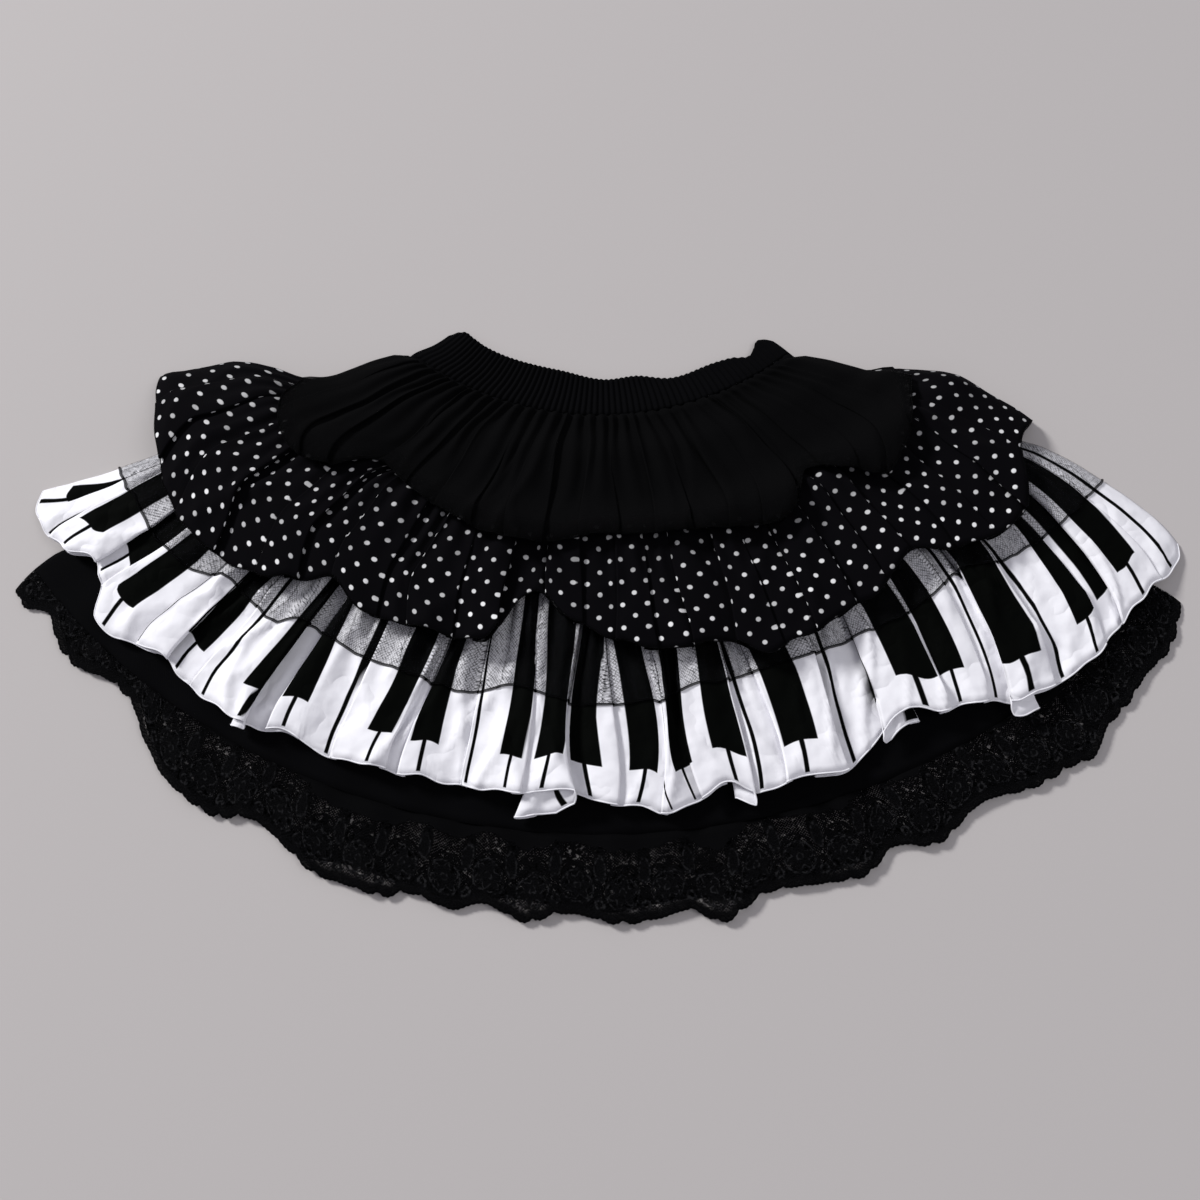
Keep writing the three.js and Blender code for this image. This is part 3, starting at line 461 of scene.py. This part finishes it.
def clothMesh(name, grid, cloth, fromHem, thickness=shell):  # a thin shell, its UVs the flat cloth in m
    rows, count = grid.shape[:2]
    index = np.arange(rows * count).reshape(rows, count)
    quads = np.stack([index[:-1, :-1], index[1:, :-1], index[1:, 1:], index[:-1, 1:]], axis=-1).reshape(-1, 4)
    mesh = bpy.data.meshes.new(name)
    mesh.vertices.add(rows * count)
    mesh.vertices.foreach_set("co", (grid.reshape(-1, 3) / 1000).astype(np.float32).ravel())
    mesh.loops.add(quads.size)
    mesh.loops.foreach_set("vertex_index", quads.ravel().astype(np.int32))
    mesh.polygons.add(len(quads))
    mesh.polygons.foreach_set("loop_start", np.arange(0, quads.size, 4, dtype=np.int32))
    mesh.update(calc_edges=True)
    layer = mesh.uv_layers.new(name="cloth")
    uv = np.stack([cloth + 0 * fromHem, fromHem], axis=-1).reshape(-1, 2) / 1000
    layer.data.foreach_set("uv", uv[quads.ravel()].astype(np.float32).ravel())
    mesh.validate()
    piece = addPiece(name, mesh)
    if thickness:
        thicken = piece.modifiers.new("cloth thickness", "SOLIDIFY")
        thicken.thickness = thickness / 1000
        thicken.offset = 0
    return piece


tubeSides = 8


def tubeAlong(name, path, radius):  # a rolled edge along a row of points, as a closed tube
    along = unit(np.gradient(path, axis=0))
    up = unit(np.array([0.0, 0.0, 1.0]) - along * along[:, 2:3])
    aside = np.cross(along, up)
    angles = np.linspace(0, 2 * math.pi, tubeSides, endpoint=False)[None, :, None]
    rings = path[:, None] + radius * (np.cos(angles) * up[:, None] + np.sin(angles) * aside[:, None])
    i = np.arange(len(path) - 1)[:, None] * tubeSides
    j = np.arange(tubeSides)[None, :]
    k = (j + 1) % tubeSides
    faces = np.stack([i + j, i + tubeSides + j, i + tubeSides + k, i + k], axis=-1).reshape(-1, 4).tolist()
    faces.append(list(range(tubeSides)))
    faces.append([(len(path) - 1) * tubeSides + n for n in reversed(range(tubeSides))])
    mesh = bpy.data.meshes.new(name)
    mesh.from_pydata((rings.reshape(-1, 3) / 1000).tolist(), [], faces)
    mesh.update()
    return addPiece(name, mesh)


class Socket:  # a shader value, on which plain arithmetic makes Math nodes
    def __init__(self, board, link):
        self.board = board
        self.link = link

    def maths(self, operation, *values):
        return self.board.node("ShaderNodeMath", {"operation": operation}, dict(enumerate(values)))

    def __add__(self, other):
        return self.maths("ADD", self, other)

    def __radd__(self, other):
        return self.maths("ADD", other, self)

    def __sub__(self, other):
        return self.maths("SUBTRACT", self, other)

    def __rsub__(self, other):
        return self.maths("SUBTRACT", other, self)

    def __mul__(self, other):
        return self.maths("MULTIPLY", self, other)

    def __rmul__(self, other):
        return self.maths("MULTIPLY", other, self)

    def __truediv__(self, other):
        return self.maths("DIVIDE", self, other)

    def __abs__(self):
        return self.maths("ABSOLUTE", self)

    def floor(self):
        return self.maths("FLOOR", self)

    def remainder(self, size):
        return self.maths("FLOORED_MODULO", self, size)

    def least(self, other):
        return self.maths("MINIMUM", self, other)

    def most(self, other):
        return self.maths("MAXIMUM", self, other)

    def sine(self):
        return self.maths("SINE", self)

    def root(self):
        return self.maths("SQRT", self)

    def isNear(self, number):
        return self.maths("COMPARE", self, number, 0.25)

    def outside(self, edge, blur):
        return 1 - self.below(edge, blur)

    def below(self, edge, blur):
        return self.board.node("ShaderNodeMapRange", {"clamp": True},
                               {"Value": self, "From Min": edge + blur, "From Max": edge - blur})


class Board:  # one material's nodes
    def __init__(self, name, **constants):
        self.material = bpy.data.materials.new(name)
        self.material.use_nodes = True
        self.tree = self.material.node_tree
        self.shader = self.tree.nodes["Principled BSDF"]
        for key, value in constants.items():
            self.shader.inputs[key.replace("_", " ")].default_value = value

    def node(self, kind, settings=None, sockets=None, out=0):
        made = self.tree.nodes.new(kind)
        for key, value in (settings or {}).items():
            setattr(made, key, value)
        for key, value in (sockets or {}).items():
            self.feed(made.inputs[key], value)
        return Socket(self, made.outputs[out])

    def feed(self, socket, value):
        if isinstance(value, Socket):
            self.tree.links.new(value.link, socket)
        else:
            socket.default_value = value

    def set(self, name, value):
        self.feed(self.shader.inputs[name], value)

    def blend(self, mask, first, second):
        made = self.tree.nodes.new("ShaderNodeMix")
        made.data_type = "RGBA"
        self.feed(made.inputs["Factor"], mask)
        self.feed(made.inputs[6], first)
        self.feed(made.inputs[7], second)
        return Socket(self, made.outputs[2])

    def cloth(self):  # flat cloth coordinates in mm, along the hem and up from it
        split = self.tree.nodes.new("ShaderNodeSeparateXYZ")
        uv = self.tree.nodes.new("ShaderNodeUVMap")
        uv.uv_map = "cloth"
        self.tree.links.new(uv.outputs[0], split.inputs[0])
        return Socket(self, split.outputs[0]) * 1000.0, Socket(self, split.outputs[1]) * 1000.0

    def noise(self, scale, detail=2.0, rough=0.5):
        coords = self.node("ShaderNodeTexCoord", None, None, out=3)
        sockets = {"Vector": coords, "Scale": scale, "Detail": detail, "Roughness": rough}
        return self.node("ShaderNodeTexNoise", None, sockets)

    def weave(self, along, up, grain, deep):
        return (along * grain).sine() * (up * grain).sine() * deep

    def bump(self, height, strength):
        sockets = {"Height": height, "Distance": 1.0, "Strength": strength}
        self.set("Normal", self.node("ShaderNodeBump", None, sockets))


def colour(red, green, blue):
    return (red, green, blue, 1.0)


satinLook = {
    "white": colour(0.87, 0.865, 0.90), "ink": colour(0.0015, 0.0018, 0.0015),
    "octave": 7.0, "gaps": (0.0, 3.0),  # white keys in an octave, and the lines with no black key on them
    "keyHalf": 0.285, "lineHalf": 0.042, "sideBlur": 0.008,  # in white keys
    "keyEnd": 21.0, "keyEndBlur": 0.25, "lineEnd": 1.6, "lineEndBlur": 0.3,  # mm from the hem
    "rough": 0.5, "inkRough": 0.3, "coat": 0.2,
    "crumple": (34.0, 0.011), "wrinkle": (60.0, 0.0010), "weave": (7.4, 0.00001), "bump": 0.6,
}


def keySatin():
    look = satinLook
    m = Board("keyPrintSatin", Roughness=0.5, Specular_IOR_Level=0.02, Coat_Roughness=0.4)
    along, up = m.cloth()
    key = along / keyPitch
    nearest = (key + 0.5).floor()
    offCentre = abs(key - nearest)
    number = nearest.remainder(look["octave"])
    noBlack = number.isNear(look["gaps"][0]).most(number.isNear(look["gaps"][1]))
    body = offCentre.below(look["keyHalf"], look["sideBlur"])
    body = body * up.outside(look["keyEnd"], look["keyEndBlur"]) * (1 - noBlack)
    line = offCentre.below(look["lineHalf"], look["sideBlur"])
    line = line * up.outside(look["lineEnd"], look["lineEndBlur"])
    ink = body.most(line)
    m.set("Base Color", m.blend(ink, look["white"], look["ink"]))
    m.set("Roughness", look["rough"] + look["inkRough"] * ink)
    m.set("Coat Weight", look["coat"] * (1 - ink))
    sharp = abs(m.noise(look["crumple"][0], 2.0, 0.45) - 0.5) * look["crumple"][1]
    soft = m.noise(look["wrinkle"][0], 3.0, 0.55) * look["wrinkle"][1]
    m.bump(soft + sharp + m.weave(along, up, *look["weave"]), look["bump"])
    return m.material


dotLook = {
    "cloth": colour(0.0019, 0.0017, 0.0024), "dot": colour(0.80, 0.80, 0.80),
    "across": 15.2, "rows": 7.7, "radius": 1.5, "blur": 0.22,  # mm
    "dim": 0.4, "paintedShadeDim": 0.45,  # how much a worn dot fades, and how much painted shade dims the dots towards the seam
    "worn": (34.0, 0.47, 0.05), "paintedShadeNearTop": (60.0, 22.0),
    "weave": (5.2, 0.00006), "raised": 0.00025, "wrinkle": (70.0, 0.0005), "bump": 0.5,
}


def dotMesh():
    look = dotLook
    m = Board("dottedMesh", Roughness=0.92, Specular_IOR_Level=0.04)
    along, up = m.cloth()
    row = up / look["rows"]
    shift = row.floor().remainder(2.0) * 0.5
    across = ((along / look["across"] + shift).remainder(1.0) - 0.5) * look["across"]
    upDown = (row.remainder(1.0) - 0.5) * look["rows"]
    apart = (across * across + upDown * upDown).root()
    dot = apart.below(look["radius"], look["blur"])
    scale, edge, blur = look["worn"]
    worn = m.noise(scale, 2.0).below(edge, blur)
    paintedShadeNearTop = up.outside(*look["paintedShadeNearTop"])  # painted shade towards the gathers, under the top flounce
    shown = dot * (1 - look["dim"] * worn) * (1 - look["paintedShadeDim"] * paintedShadeNearTop)
    m.set("Base Color", m.blend(shown, look["cloth"], look["dot"]))
    scale, deep = look["wrinkle"]
    relief = m.weave(along, up, *look["weave"]) + dot * look["raised"] + m.noise(scale, 2.0) * deep
    m.bump(relief, look["bump"])
    return m.material


netLook = {
    "thread": colour(0.004, 0.004, 0.005), "pitch": 2.3, "uneven": (240.0, 3.4),  # mm
    "cover": 0.07, "net": 0.50, "edge": (0.42, 0.12),
    "patch": (520.0, 0.5, 0.08), "patchLow": 0.6, "patchMore": 0.8,
    "doubled": 0.3, "doubledEvery": 0.16, "doubledBend": (24.0, 5.0), "doubledEdge": (0.07, 0.03),
    "paintedShade": 0.26, "paintedShadeFrom": (46.0, 24.0),  # painted shade below the dotted flounce's hem, and the net lies closer towards its seam
}


def netMaterial():
    look = netLook
    m = Board("netOverlay", Roughness=0.9, Specular_IOR_Level=0.05)
    m.set("Base Color", look["thread"])
    along, up = m.cloth()
    along = along + m.noise(look["uneven"][0], 2.0) * look["uneven"][1]
    turn = math.pi / look["pitch"]
    first = abs(((along + up) * turn).sine())
    second = abs(((along - up) * turn).sine())
    threads = first.least(second).below(*look["edge"])
    scale, edge, blur = look["patch"]
    patchy = look["patchLow"] + look["patchMore"] * m.noise(scale, 3.0).below(edge, blur)
    scale, bend = look["doubledBend"]
    lines = abs((along * look["doubledEvery"] + m.noise(scale, 1.0) * bend).sine())
    doubled = lines.below(*look["doubledEdge"])
    cover = look["cover"] + look["net"] * threads * patchy + doubled * look["doubled"]
    # the net grows more opaque towards its seam: partly the net lying closer there, partly painted shade from
    # the dotted flounce
    m.set("Alpha", cover + up.outside(*look["paintedShadeFrom"]) * look["paintedShade"])
    return m.material


blackLook = {  # tint, grain, wrinkles and sheerness at the hem of each cloth
    "blackVoile": (colour(0.0018, 0.0018, 0.002), 4.2, 0.0007, 0.3),
    "blackCotton": (colour(0.0018, 0.0018, 0.0022), 3.1, 0.0005, 0.0),
    "elasticCotton": (colour(0.0018, 0.0018, 0.0022), 2.4, 0.0004, 0.0),
    "weaveDeep": 0.00004, "wrinkles": 55.0, "bump": 0.6, "sheerHem": (8.0, 7.0),
}


def blackCloth(name):
    look = blackLook
    tint, grain, wrinkle, sheerHem = look[name]
    m = Board(name, Roughness=0.95, Specular_IOR_Level=0.035)
    m.set("Base Color", tint)
    along, up = m.cloth()
    weave = m.weave(along, up, grain, look["weaveDeep"])
    if sheerHem:
        m.set("Alpha", 1 - sheerHem * up.below(*look["sheerHem"]))
    m.bump(weave + m.noise(look["wrinkles"], 3.0) * wrinkle, look["bump"])
    return m.material


laceLook = {  # heights and radii in mm
    # the glint colour is a painted highlight on the lace's cords
    "thread": colour(0.0018, 0.0018, 0.0021), "paintedGlint": colour(0.014, 0.014, 0.015),
    "open": 0.04, "fill": 0.8, "rim": 0.82, "rimEnd": (6.5, 1.5), "repeat": 26.45,
    "flowerUp": 17.0, "petals": 6.0, "petalDeep": 1.7, "petalEnd": 7.2, "heart": 2.4, "frame": 10.0,
    "leafUp": 29.0, "leafWide": 0.6, "leafTall": 0.13, "leafEnd": 2.9, "budUp": 8.5, "bud": 3.2,
    "border": (1.6, 0.2), "ladder": 4.3, "topBand": (42.0, 0.6),
    "blur": 0.3, "frameBlur": 0.35, "leafBlur": 0.25, "ladderBlur": 0.2,
    "frameCord": 1.1, "petalCord": 1.0, "heartCord": 0.9, "leafCord": 0.7, "budCord": 1.8, "ladderCord": 0.6,
    "netTurn": 1.75, "netEdge": (0.62, 0.1), "holes": (430.0, 0.415, 0.02), "glintSpots": (520.0, 0.47, 0.05),
    "glintFrom": (5.0, 0.5), "cordDeep": 0.00025, "netDeep": 0.0001, "bump": 0.7,
}


def laceMaterial():
    look = laceLook
    blur = look["blur"]
    m = Board("floralLace", Roughness=0.85, Specular_IOR_Level=0.03)
    along, up = m.cloth()
    wide = look["repeat"]
    x = ((along / wide).remainder(1.0) - 0.5) * wide
    y = up - look["flowerUp"]
    angle = m.node("ShaderNodeMath", {"operation": "ARCTAN2"}, {0: y, 1: x})
    far = (x * x + y * y).root()
    bloom = far - (angle * look["petals"]).sine() * look["petalDeep"]
    frame = far.below(look["frame"], look["frameBlur"])
    frame = frame * far.outside(look["frame"] - look["frameCord"], look["frameBlur"])
    petals = bloom.below(look["petalEnd"], blur)
    petalCord = petals * bloom.outside(look["petalEnd"] - look["petalCord"], blur)
    heart = far.below(look["heart"], blur)
    heartCord = heart * far.outside(look["heart"] - look["heartCord"], blur)
    sideX = abs(abs(x) - wide / 2)
    leafY = up - look["leafUp"]
    leafFar = ((sideX * sideX) * look["leafWide"] + leafY * leafY * look["leafTall"]).root()
    leaf = leafFar.below(look["leafEnd"], blur)
    leafCord = leaf * leafFar.outside(look["leafEnd"] - look["leafCord"], look["leafBlur"])
    budY = up - look["budUp"]
    budFar = (sideX * sideX + budY * budY).root()
    bud = budFar.below(look["bud"], blur) * budFar.outside(look["bud"] - look["budCord"], blur)
    border = up.below(*look["border"])
    ladder = up.below(look["ladder"], look["ladderBlur"])
    ladder = ladder * up.outside(look["ladder"] - look["ladderCord"], look["ladderBlur"])
    rim = up.below(*look["rimEnd"]) * look["rim"]
    topBand = up.outside(*look["topBand"])
    first = abs(((along + up) * look["netTurn"]).sine())
    second = abs(((along - up) * look["netTurn"]).sine())
    net = first.least(second).below(*look["netEdge"])
    cord = petalCord.most(heartCord).most(leafCord).most(bud).most(border).most(ladder).most(frame)
    scale, edge, soft = look["holes"]
    holes = m.noise(scale, 1.0).below(edge, soft)
    solid = cord.most(petals * look["fill"]).most(heart).most(leaf * look["fill"])
    solid = solid.most(topBand).most(rim).most(net * (1 - holes))
    # painted glint: a lighter thread colour in scattered spots on the cords, away from the hem
    scale, edge, soft = look["glintSpots"]
    glintSpots = m.noise(scale, 2.0).below(edge, soft)
    paintedGlintMask = cord * glintSpots * (1 - topBand) * up.outside(*look["glintFrom"])
    m.set("Base Color", m.blend(paintedGlintMask, look["thread"], look["paintedGlint"]))
    m.set("Alpha", look["open"] + (1 - look["open"]) * solid)
    m.bump(cord * look["cordDeep"] + net * look["netDeep"], look["bump"])
    return m.material


materials = {
    "key_print_satin": keySatin(),
    "dotted_mesh": dotMesh(),
    "tulle": netMaterial(),
    "black_voile": blackCloth("blackVoile"),
    "black_cotton": blackCloth("blackCotton"),
    "elastic_cotton": blackCloth("elasticCotton"),
    "lace": laceMaterial(),
}
print("materials made")


def dress(piece, slotName, node=None):
    piece.data.materials.append(materials[slotName])
    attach(piece, "root")
    if node:
        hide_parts(node)
    return piece


def frontPiece(name, columns, hemRows, levels, detail):  # grid of points, height over the hem, cloth along it
    rows = [frontSurface(name, columns, hemRows, level, detail) for level in levels]
    grid, up, turns, reaches = (np.array([row[i] for row in rows]) for i in range(4))
    return grid, up, flatPanels(columns, turns, reaches, detail.get("anchors", {}), detail.get("slides", {}))


def frontFlounce(tier, columns, hemRows, detail):  # the flounce and its rolled hem
    grid, up, cloth = frontPiece(tier, columns, hemRows, np.linspace(0, 1, detail["levels"]), detail)
    pieceName, node, slotName = detail["piece"]
    flounce = dress(clothMesh(pieceName, grid, cloth, up), slotName, node)
    rollName, radius, rollSlot = detail["roll"]
    return flounce, dress(tubeAlong(rollName, grid[-1], radius), rollSlot)


# The front flounces. Ends are the hem turn, seam turn and cloth of each side edge.
keyDetail = {
    "piece": ("keyFlounceFront", "key_flounce_front", "key_print_satin"),
    "roll": ("keyHemFront", 0.5, "key_print_satin"), "levels": 36, "seed": 3,
    "gather": 4.6, "gatherEvery": 20.0, "dent": 0.8, "crease": 3.6, "crumple": 1.7, "ragged": 1.1,
    "anchors": {0: 0.0, 9: 0.85, 14: 0.0, 17: 1.0},  # share of a panel's width where its print stays straight
    "slides": {0: -32.0},  # mm that a panel's print slides on its way up to the seam
    "bend": 0.35, "ends": ((-56.0, -48.6, -43.26), (53.4, 48.0, 0.55)), "step": 0.25, "mmPerDegree": 8.1,
}
keyColumns = foldPath(keyFolds, keyDetail, keyPitch, hemFlaps)
keyFront, keyHemFront = frontFlounce("key", keyColumns, keyHem, keyDetail)

# the net is gathered with the printed ruffle and follows its points
netDetail = {"spread": 0.985, "above": 0.75, "levels": 22, "edgeRoll": 0.9}
keyHemReach = curve(keyHem)(keyColumns[:, 0]) + keyColumns[:, 4]
netHemReach = curve(netHem)(keyColumns[:, 0] * netDetail["spread"])
netShare = (netHemReach - tops["net"]) / (keyHemReach - tops["key"])
netLevels = [level * netShare for level in np.linspace(0, 1, netDetail["levels"])]
netGrid, netUp, netCloth = frontPiece("key", keyColumns, keyHem, netLevels, keyDetail)
netUp = netUp - netUp[-1]
netGrid = netGrid + normalsOf(netGrid) * netDetail["above"]
netFront = clothMesh("tulleFlounceFront", netGrid, netCloth, netUp, 0.0)
dress(netFront, "tulle", "tulle_flounce_front")
netEdgeFront = tubeAlong("tulleEdgeFront", netGrid[-1], netDetail["edgeRoll"])
dress(netEdgeFront, "black_voile")
print("printed ruffle and net made")

dotDetail = {
    "piece": ("dotFlounceFront", "dot_flounce_front", "dotted_mesh"),
    "roll": ("dotHemFront", 0.55, "black_voile"), "levels": 32, "seed": 11,
    "gather": 3.8, "gatherEvery": 19.0, "dent": 0.8, "crease": 2.2, "ragged": 0.9, "bend": 0.4,
    "ends": ((-61.2, -45.6, 0.0), (56.0, 46.6, 0.0)), "step": 0.34, "mmPerDegree": 6.54,
}
dotFront, dotHemFront = frontFlounce("dot", foldPath(dotFolds, dotDetail), dotHem, dotDetail)

topDetail = {
    "piece": ("topFlounceFront", "top_flounce_front", "black_voile"),
    "roll": ("topHemFront", 0.6, "black_voile"), "levels": 26, "seed": 21,
    "gather": 3.0, "gatherEvery": 17.0, "dent": 0.7, "crease": 1.6, "bend": 0.4,
    "ends": ((-49.2, -44.4, 0.0), (48.5, 44.4, 0.0)), "step": 0.42, "mmPerDegree": 5.24,
}
topFront, topHemFront = frontFlounce("flounce", foldPath(flounceFolds, topDetail), flounceHem, topDetail)
print("front flounces made")


lying = {"onFloor": 0.26, "more": 0.34, "pileFrom": 1.2}  # mm


def restOn(floor):  # middle height of cloth that lies on it
    return floor + lying["onFloor"] + lying["more"] * smooth(0, lying["pileFrom"], floor)


# The back flounces lie flat under the rest.
backDetail = {
    "hemPower": 6, "room": 0.35, "wander": 1.2, "wanderPace": (20, 2), "sideFlat": 0.06,
    "loop": 0.05, "loopFrom": 0.8, "loopReach": 257, "loopTall": 9,  # a loop of sheer cloth at the right
    "netRim": 0.987, "netUnder": 1.2,  # the net's seam lies just outside the ruffle's
}


def backSurface(name, droop, ridges, count, rows):
    detail = backDetail
    share = np.linspace(-1, 1, count)
    inward = 1 - np.abs(share)
    hem = backHems[name] - droop * np.abs(share) ** detail["hemPower"]
    grid, up = [], []
    for level in np.linspace(0, 1, rows):
        reach = mix(float(tops[name]), hem, level)
        turn = turnAt(name, share, reach)
        if name == "flounce":
            loop = smooth(detail["loopFrom"], 1.0, share)
            loop = detail["loop"] * loop * np.exp(-((reach - detail["loopReach"]) / detail["loopTall"]) ** 2)
            turn = turn * (1 + loop)
        paceAcross, paceAlong = detail["wanderPace"]
        wander = detail["wander"] * ripple(share * paceAcross, level * paceAlong + 0 * share, len(name))
        wave = 0.5 + 0.5 * np.sin(share * ridges * math.pi + wander)
        wave = wave * smooth(0.0, detail["sideFlat"], inward)
        base = backFloor(name, reach)
        if name == "net":
            rim = smooth(detail["netRim"], 1.0, np.abs(share))
            base = base + rim * (sideFloor("key", reach) - base - detail["netUnder"])
        height = restOn(base) + (backSlab[name] - shell - detail["room"]) * wave
        grid.append(place(turn, reach, height))
        up.append(hem - reach)
    return np.array(grid), np.array(up), share


# tier, piece, node, slot, droop of the hem at the sides in mm, ridges, columns, rows, cloth width in mm
backPieces = [
    ("flounce", "topFlounceBack", "top_flounce_back", "black_voile", 26, 46, 300, 14, 560.0),
    ("dot", "dotFlounceBack", "dot_flounce_back", "dotted_mesh", 18, 58, 380, 18, 800.0),
    ("net", "tulleFlounceBack", "tulle_flounce_back", "tulle", 0, 60, 380, 14, 800.0),
    ("key", "keyFlounceBack", "key_flounce_back", "key_print_satin", 0, 66, 440, 22, 1000.0),
]
backs = {}
for tier, pieceName, node, slotName, droop, ridges, count, rows, width in backPieces:
    grid, up, share = backSurface(tier, droop, ridges, count, rows)
    backs[tier] = clothMesh(pieceName, grid, share * width / 2, up, 0.0 if tier == "net" else shell)
    dress(backs[tier], slotName, node)
print("back flounces made")

# The inside tube is the waistband, yoke, underskirt and lace. They meet at these reaches.
bandHem = 198.0
yokeHem = 262.0
laceSeam = 482.0
innerDetail = {
    "seamReach": 180.0, "hemReach": 500.0, "wander": 1.1, "wanderPace": 5, "backWave": 0.35, "sideFlat": 0.06,
    "room": 0.2, "sideLift": 0.75, "mmPerDegree": 8.7, "laceThickness": 0.35,
}


def innerSurface(topAt, hemAt, rows, count, side, ripples):
    detail = innerDetail
    share = np.linspace(-1, 1, count)
    startTurn = turnAt("inner", share, detail["seamReach"] + 0 * share)
    endTurn = turnAt("inner", share, detail["hemReach"] + 0 * share)
    start = topAt(startTurn) if callable(topAt) else topAt + 0 * share
    end = hemAt(endTurn) if callable(hemAt) else hemAt + 0 * share
    wander = detail["wander"] * np.sin(detail["wanderPace"] * share)
    wave = 0.5 + 0.5 * np.sin(share * ripples * math.pi + wander)
    grid, up = [], []
    for level in np.linspace(0, 1, rows):
        reach = mix(start, end, level)
        low = restOn(backFloor("inner", reach))
        if side == "back":
            height = low + detail["backWave"] * wave * smooth(0, detail["sideFlat"], 1 - np.abs(share))
        else:
            high = frontFloor("inner", reach) + wall / 2
            high = high + (frontSlab["inner"] - wall - air - detail["room"]) * wave
            height = mix(low + detail["sideLift"], high, crown(share))
        grid.append(place(turnAt("inner", share, reach), reach, height))
        up.append(end - reach)
    return np.array(grid), np.array(up), endTurn * detail["mmPerDegree"]


waistCurve = curve(waistEdge)
laceCurve = curve(laceHem)
scallop = {"turns": 1.52, "deep": 3.2, "roundness": 0.7, "back": 2.4, "teeth": 0.7, "toothPace": 9.0,
           "least": 0.55, "more": 0.45, "pace": 0.83, "sway": 1.1, "swayPace": 0.31}
hiddenLace = {"back": 5, "reach": 525, "deep": 3, "pace": 32}


def laceEdge(turn):
    lobes = np.abs(np.sin(math.pi * turn / scallop["turns"])) ** scallop["roundness"]
    sway = scallop["sway"] * np.sin(turn * scallop["swayPace"])
    uneven = scallop["least"] + scallop["more"] * np.sin(turn * scallop["pace"] + sway)
    teeth = scallop["teeth"] * np.abs(np.sin(turn * scallop["toothPace"]))
    return laceCurve(turn) - scallop["back"] + scallop["deep"] * lobes * uneven + teeth


def laceBackEdge(turn):
    wavy = hiddenLace["reach"] + hiddenLace["deep"] * np.cos(np.radians(turn * hiddenLace["pace"]))
    return np.minimum(laceEdge(turn) - hiddenLace["back"], wavy)


innerPieces = [  # piece, node, slot, top edge, hem edge, rows, columns, side, gathers
    ("waistbandBack", "waistband_back", "elastic_cotton", waistCurve, bandHem, 10, 220, "back", 60),
    ("yokeBack", "yoke_back", "black_cotton", bandHem, yokeHem, 16, 160, "back", 30),
    ("underskirtBack", "underskirt_back", "black_cotton", yokeHem, laceSeam, 40, 200, "back", 16),
    ("laceBack", "lace_back", "lace", laceSeam, laceBackEdge, 9, 620, "back", 16),
    ("waistbandFront", "waistband_front", "elastic_cotton", waistCurve, bandHem, 12, 420, "front", 66),
    ("yokeFront", "yoke_front", "black_cotton", bandHem, yokeHem, 18, 200, "front", 34),
    ("underskirtFront", "underskirt_front", "black_cotton", yokeHem, laceSeam, 44, 260, "front", 18),
    ("laceFront", "lace_front", "lace", laceSeam, laceEdge, 13, 960, "front", 22),
]
inner = {}
for pieceName, node, slotName, start, end, rows, count, side, ripples in innerPieces:
    grid, up, cloth = innerSurface(start, end, rows, count, side, ripples)
    thickness = innerDetail["laceThickness"] if slotName == "lace" else shell
    inner[pieceName] = clothMesh(pieceName, grid, cloth, up, thickness)
    dress(inner[pieceName], slotName, node)
print("inside tube made")

# floor, light and camera, in m
studio = {
    "floorHalf": 8.0, "floor": colour(0.50, 0.475, 0.465),
    "sky": colour(0.90, 0.89, 1.0), "skyStrength": 0.34,
    "window": {"spot": (-4.6, 2.8, 3.4), "across": 1.4, "watts": 400},
    "fill": {"spot": (1.6, -0.4, 2.6), "across": 1.6, "watts": 16},
    "away": 0.78, "tilt": 70,  # degrees over the floor
    "lens": 36.0, "sensor": 36.0, "aimReach": 330,  # mm, the last from fanCentre
}
floorMesh = bpy.data.meshes.new("floor")
half = studio["floorHalf"]
corners = [(-half, -half, 0), (half, -half, 0), (half, half, 0), (-half, half, 0)]
floorMesh.from_pydata(corners, [], [(0, 1, 2, 3)])
floor = bpy.data.objects.new("floor", floorMesh)
bpy.context.collection.objects.link(floor)
floorBoard = Board("paleFloor", Roughness=0.9, Specular_IOR_Level=0.2)
floorBoard.set("Base Color", studio["floor"])
floorMesh.materials.append(floorBoard.material)

world = bpy.data.worlds.new("studio")
world.use_nodes = True
world.node_tree.nodes["Background"].inputs["Color"].default_value = studio["sky"]
world.node_tree.nodes["Background"].inputs["Strength"].default_value = studio["skyStrength"]
bpy.context.scene.world = world


def softLight(name, spot, across, watts):  # a round lamp that shines at the origin
    lamp = bpy.data.lights.new(name, "AREA")
    lamp.shape = "DISK"
    lamp.size = across
    lamp.energy = watts
    holder = bpy.data.objects.new(name, lamp)
    holder.location = spot
    holder.rotation_euler = (-Vector(spot)).to_track_quat("-Z", "Y").to_euler()
    bpy.context.collection.objects.link(holder)


softLight("windowLight", **studio["window"])
softLight("fillLight", **studio["fill"])

cameraData = bpy.data.cameras.new("photoCamera")
cameraData.lens = studio["lens"]
cameraData.sensor_width = studio["sensor"]
camera = bpy.data.objects.new("photoCamera", cameraData)
aim = Vector((fanCentre[0] / 1000, (fanCentre[1] - studio["aimReach"]) / 1000, 0))
tilt = math.radians(studio["tilt"])
camera.location = aim + studio["away"] * Vector((0, -math.cos(tilt), math.sin(tilt)))
camera.rotation_euler = (math.radians(90 - studio["tilt"]), 0, 0)
bpy.context.collection.objects.link(camera)
bpy.context.scene.camera = camera
bpy.context.scene.view_settings.view_transform = "Standard"
print("stage set")
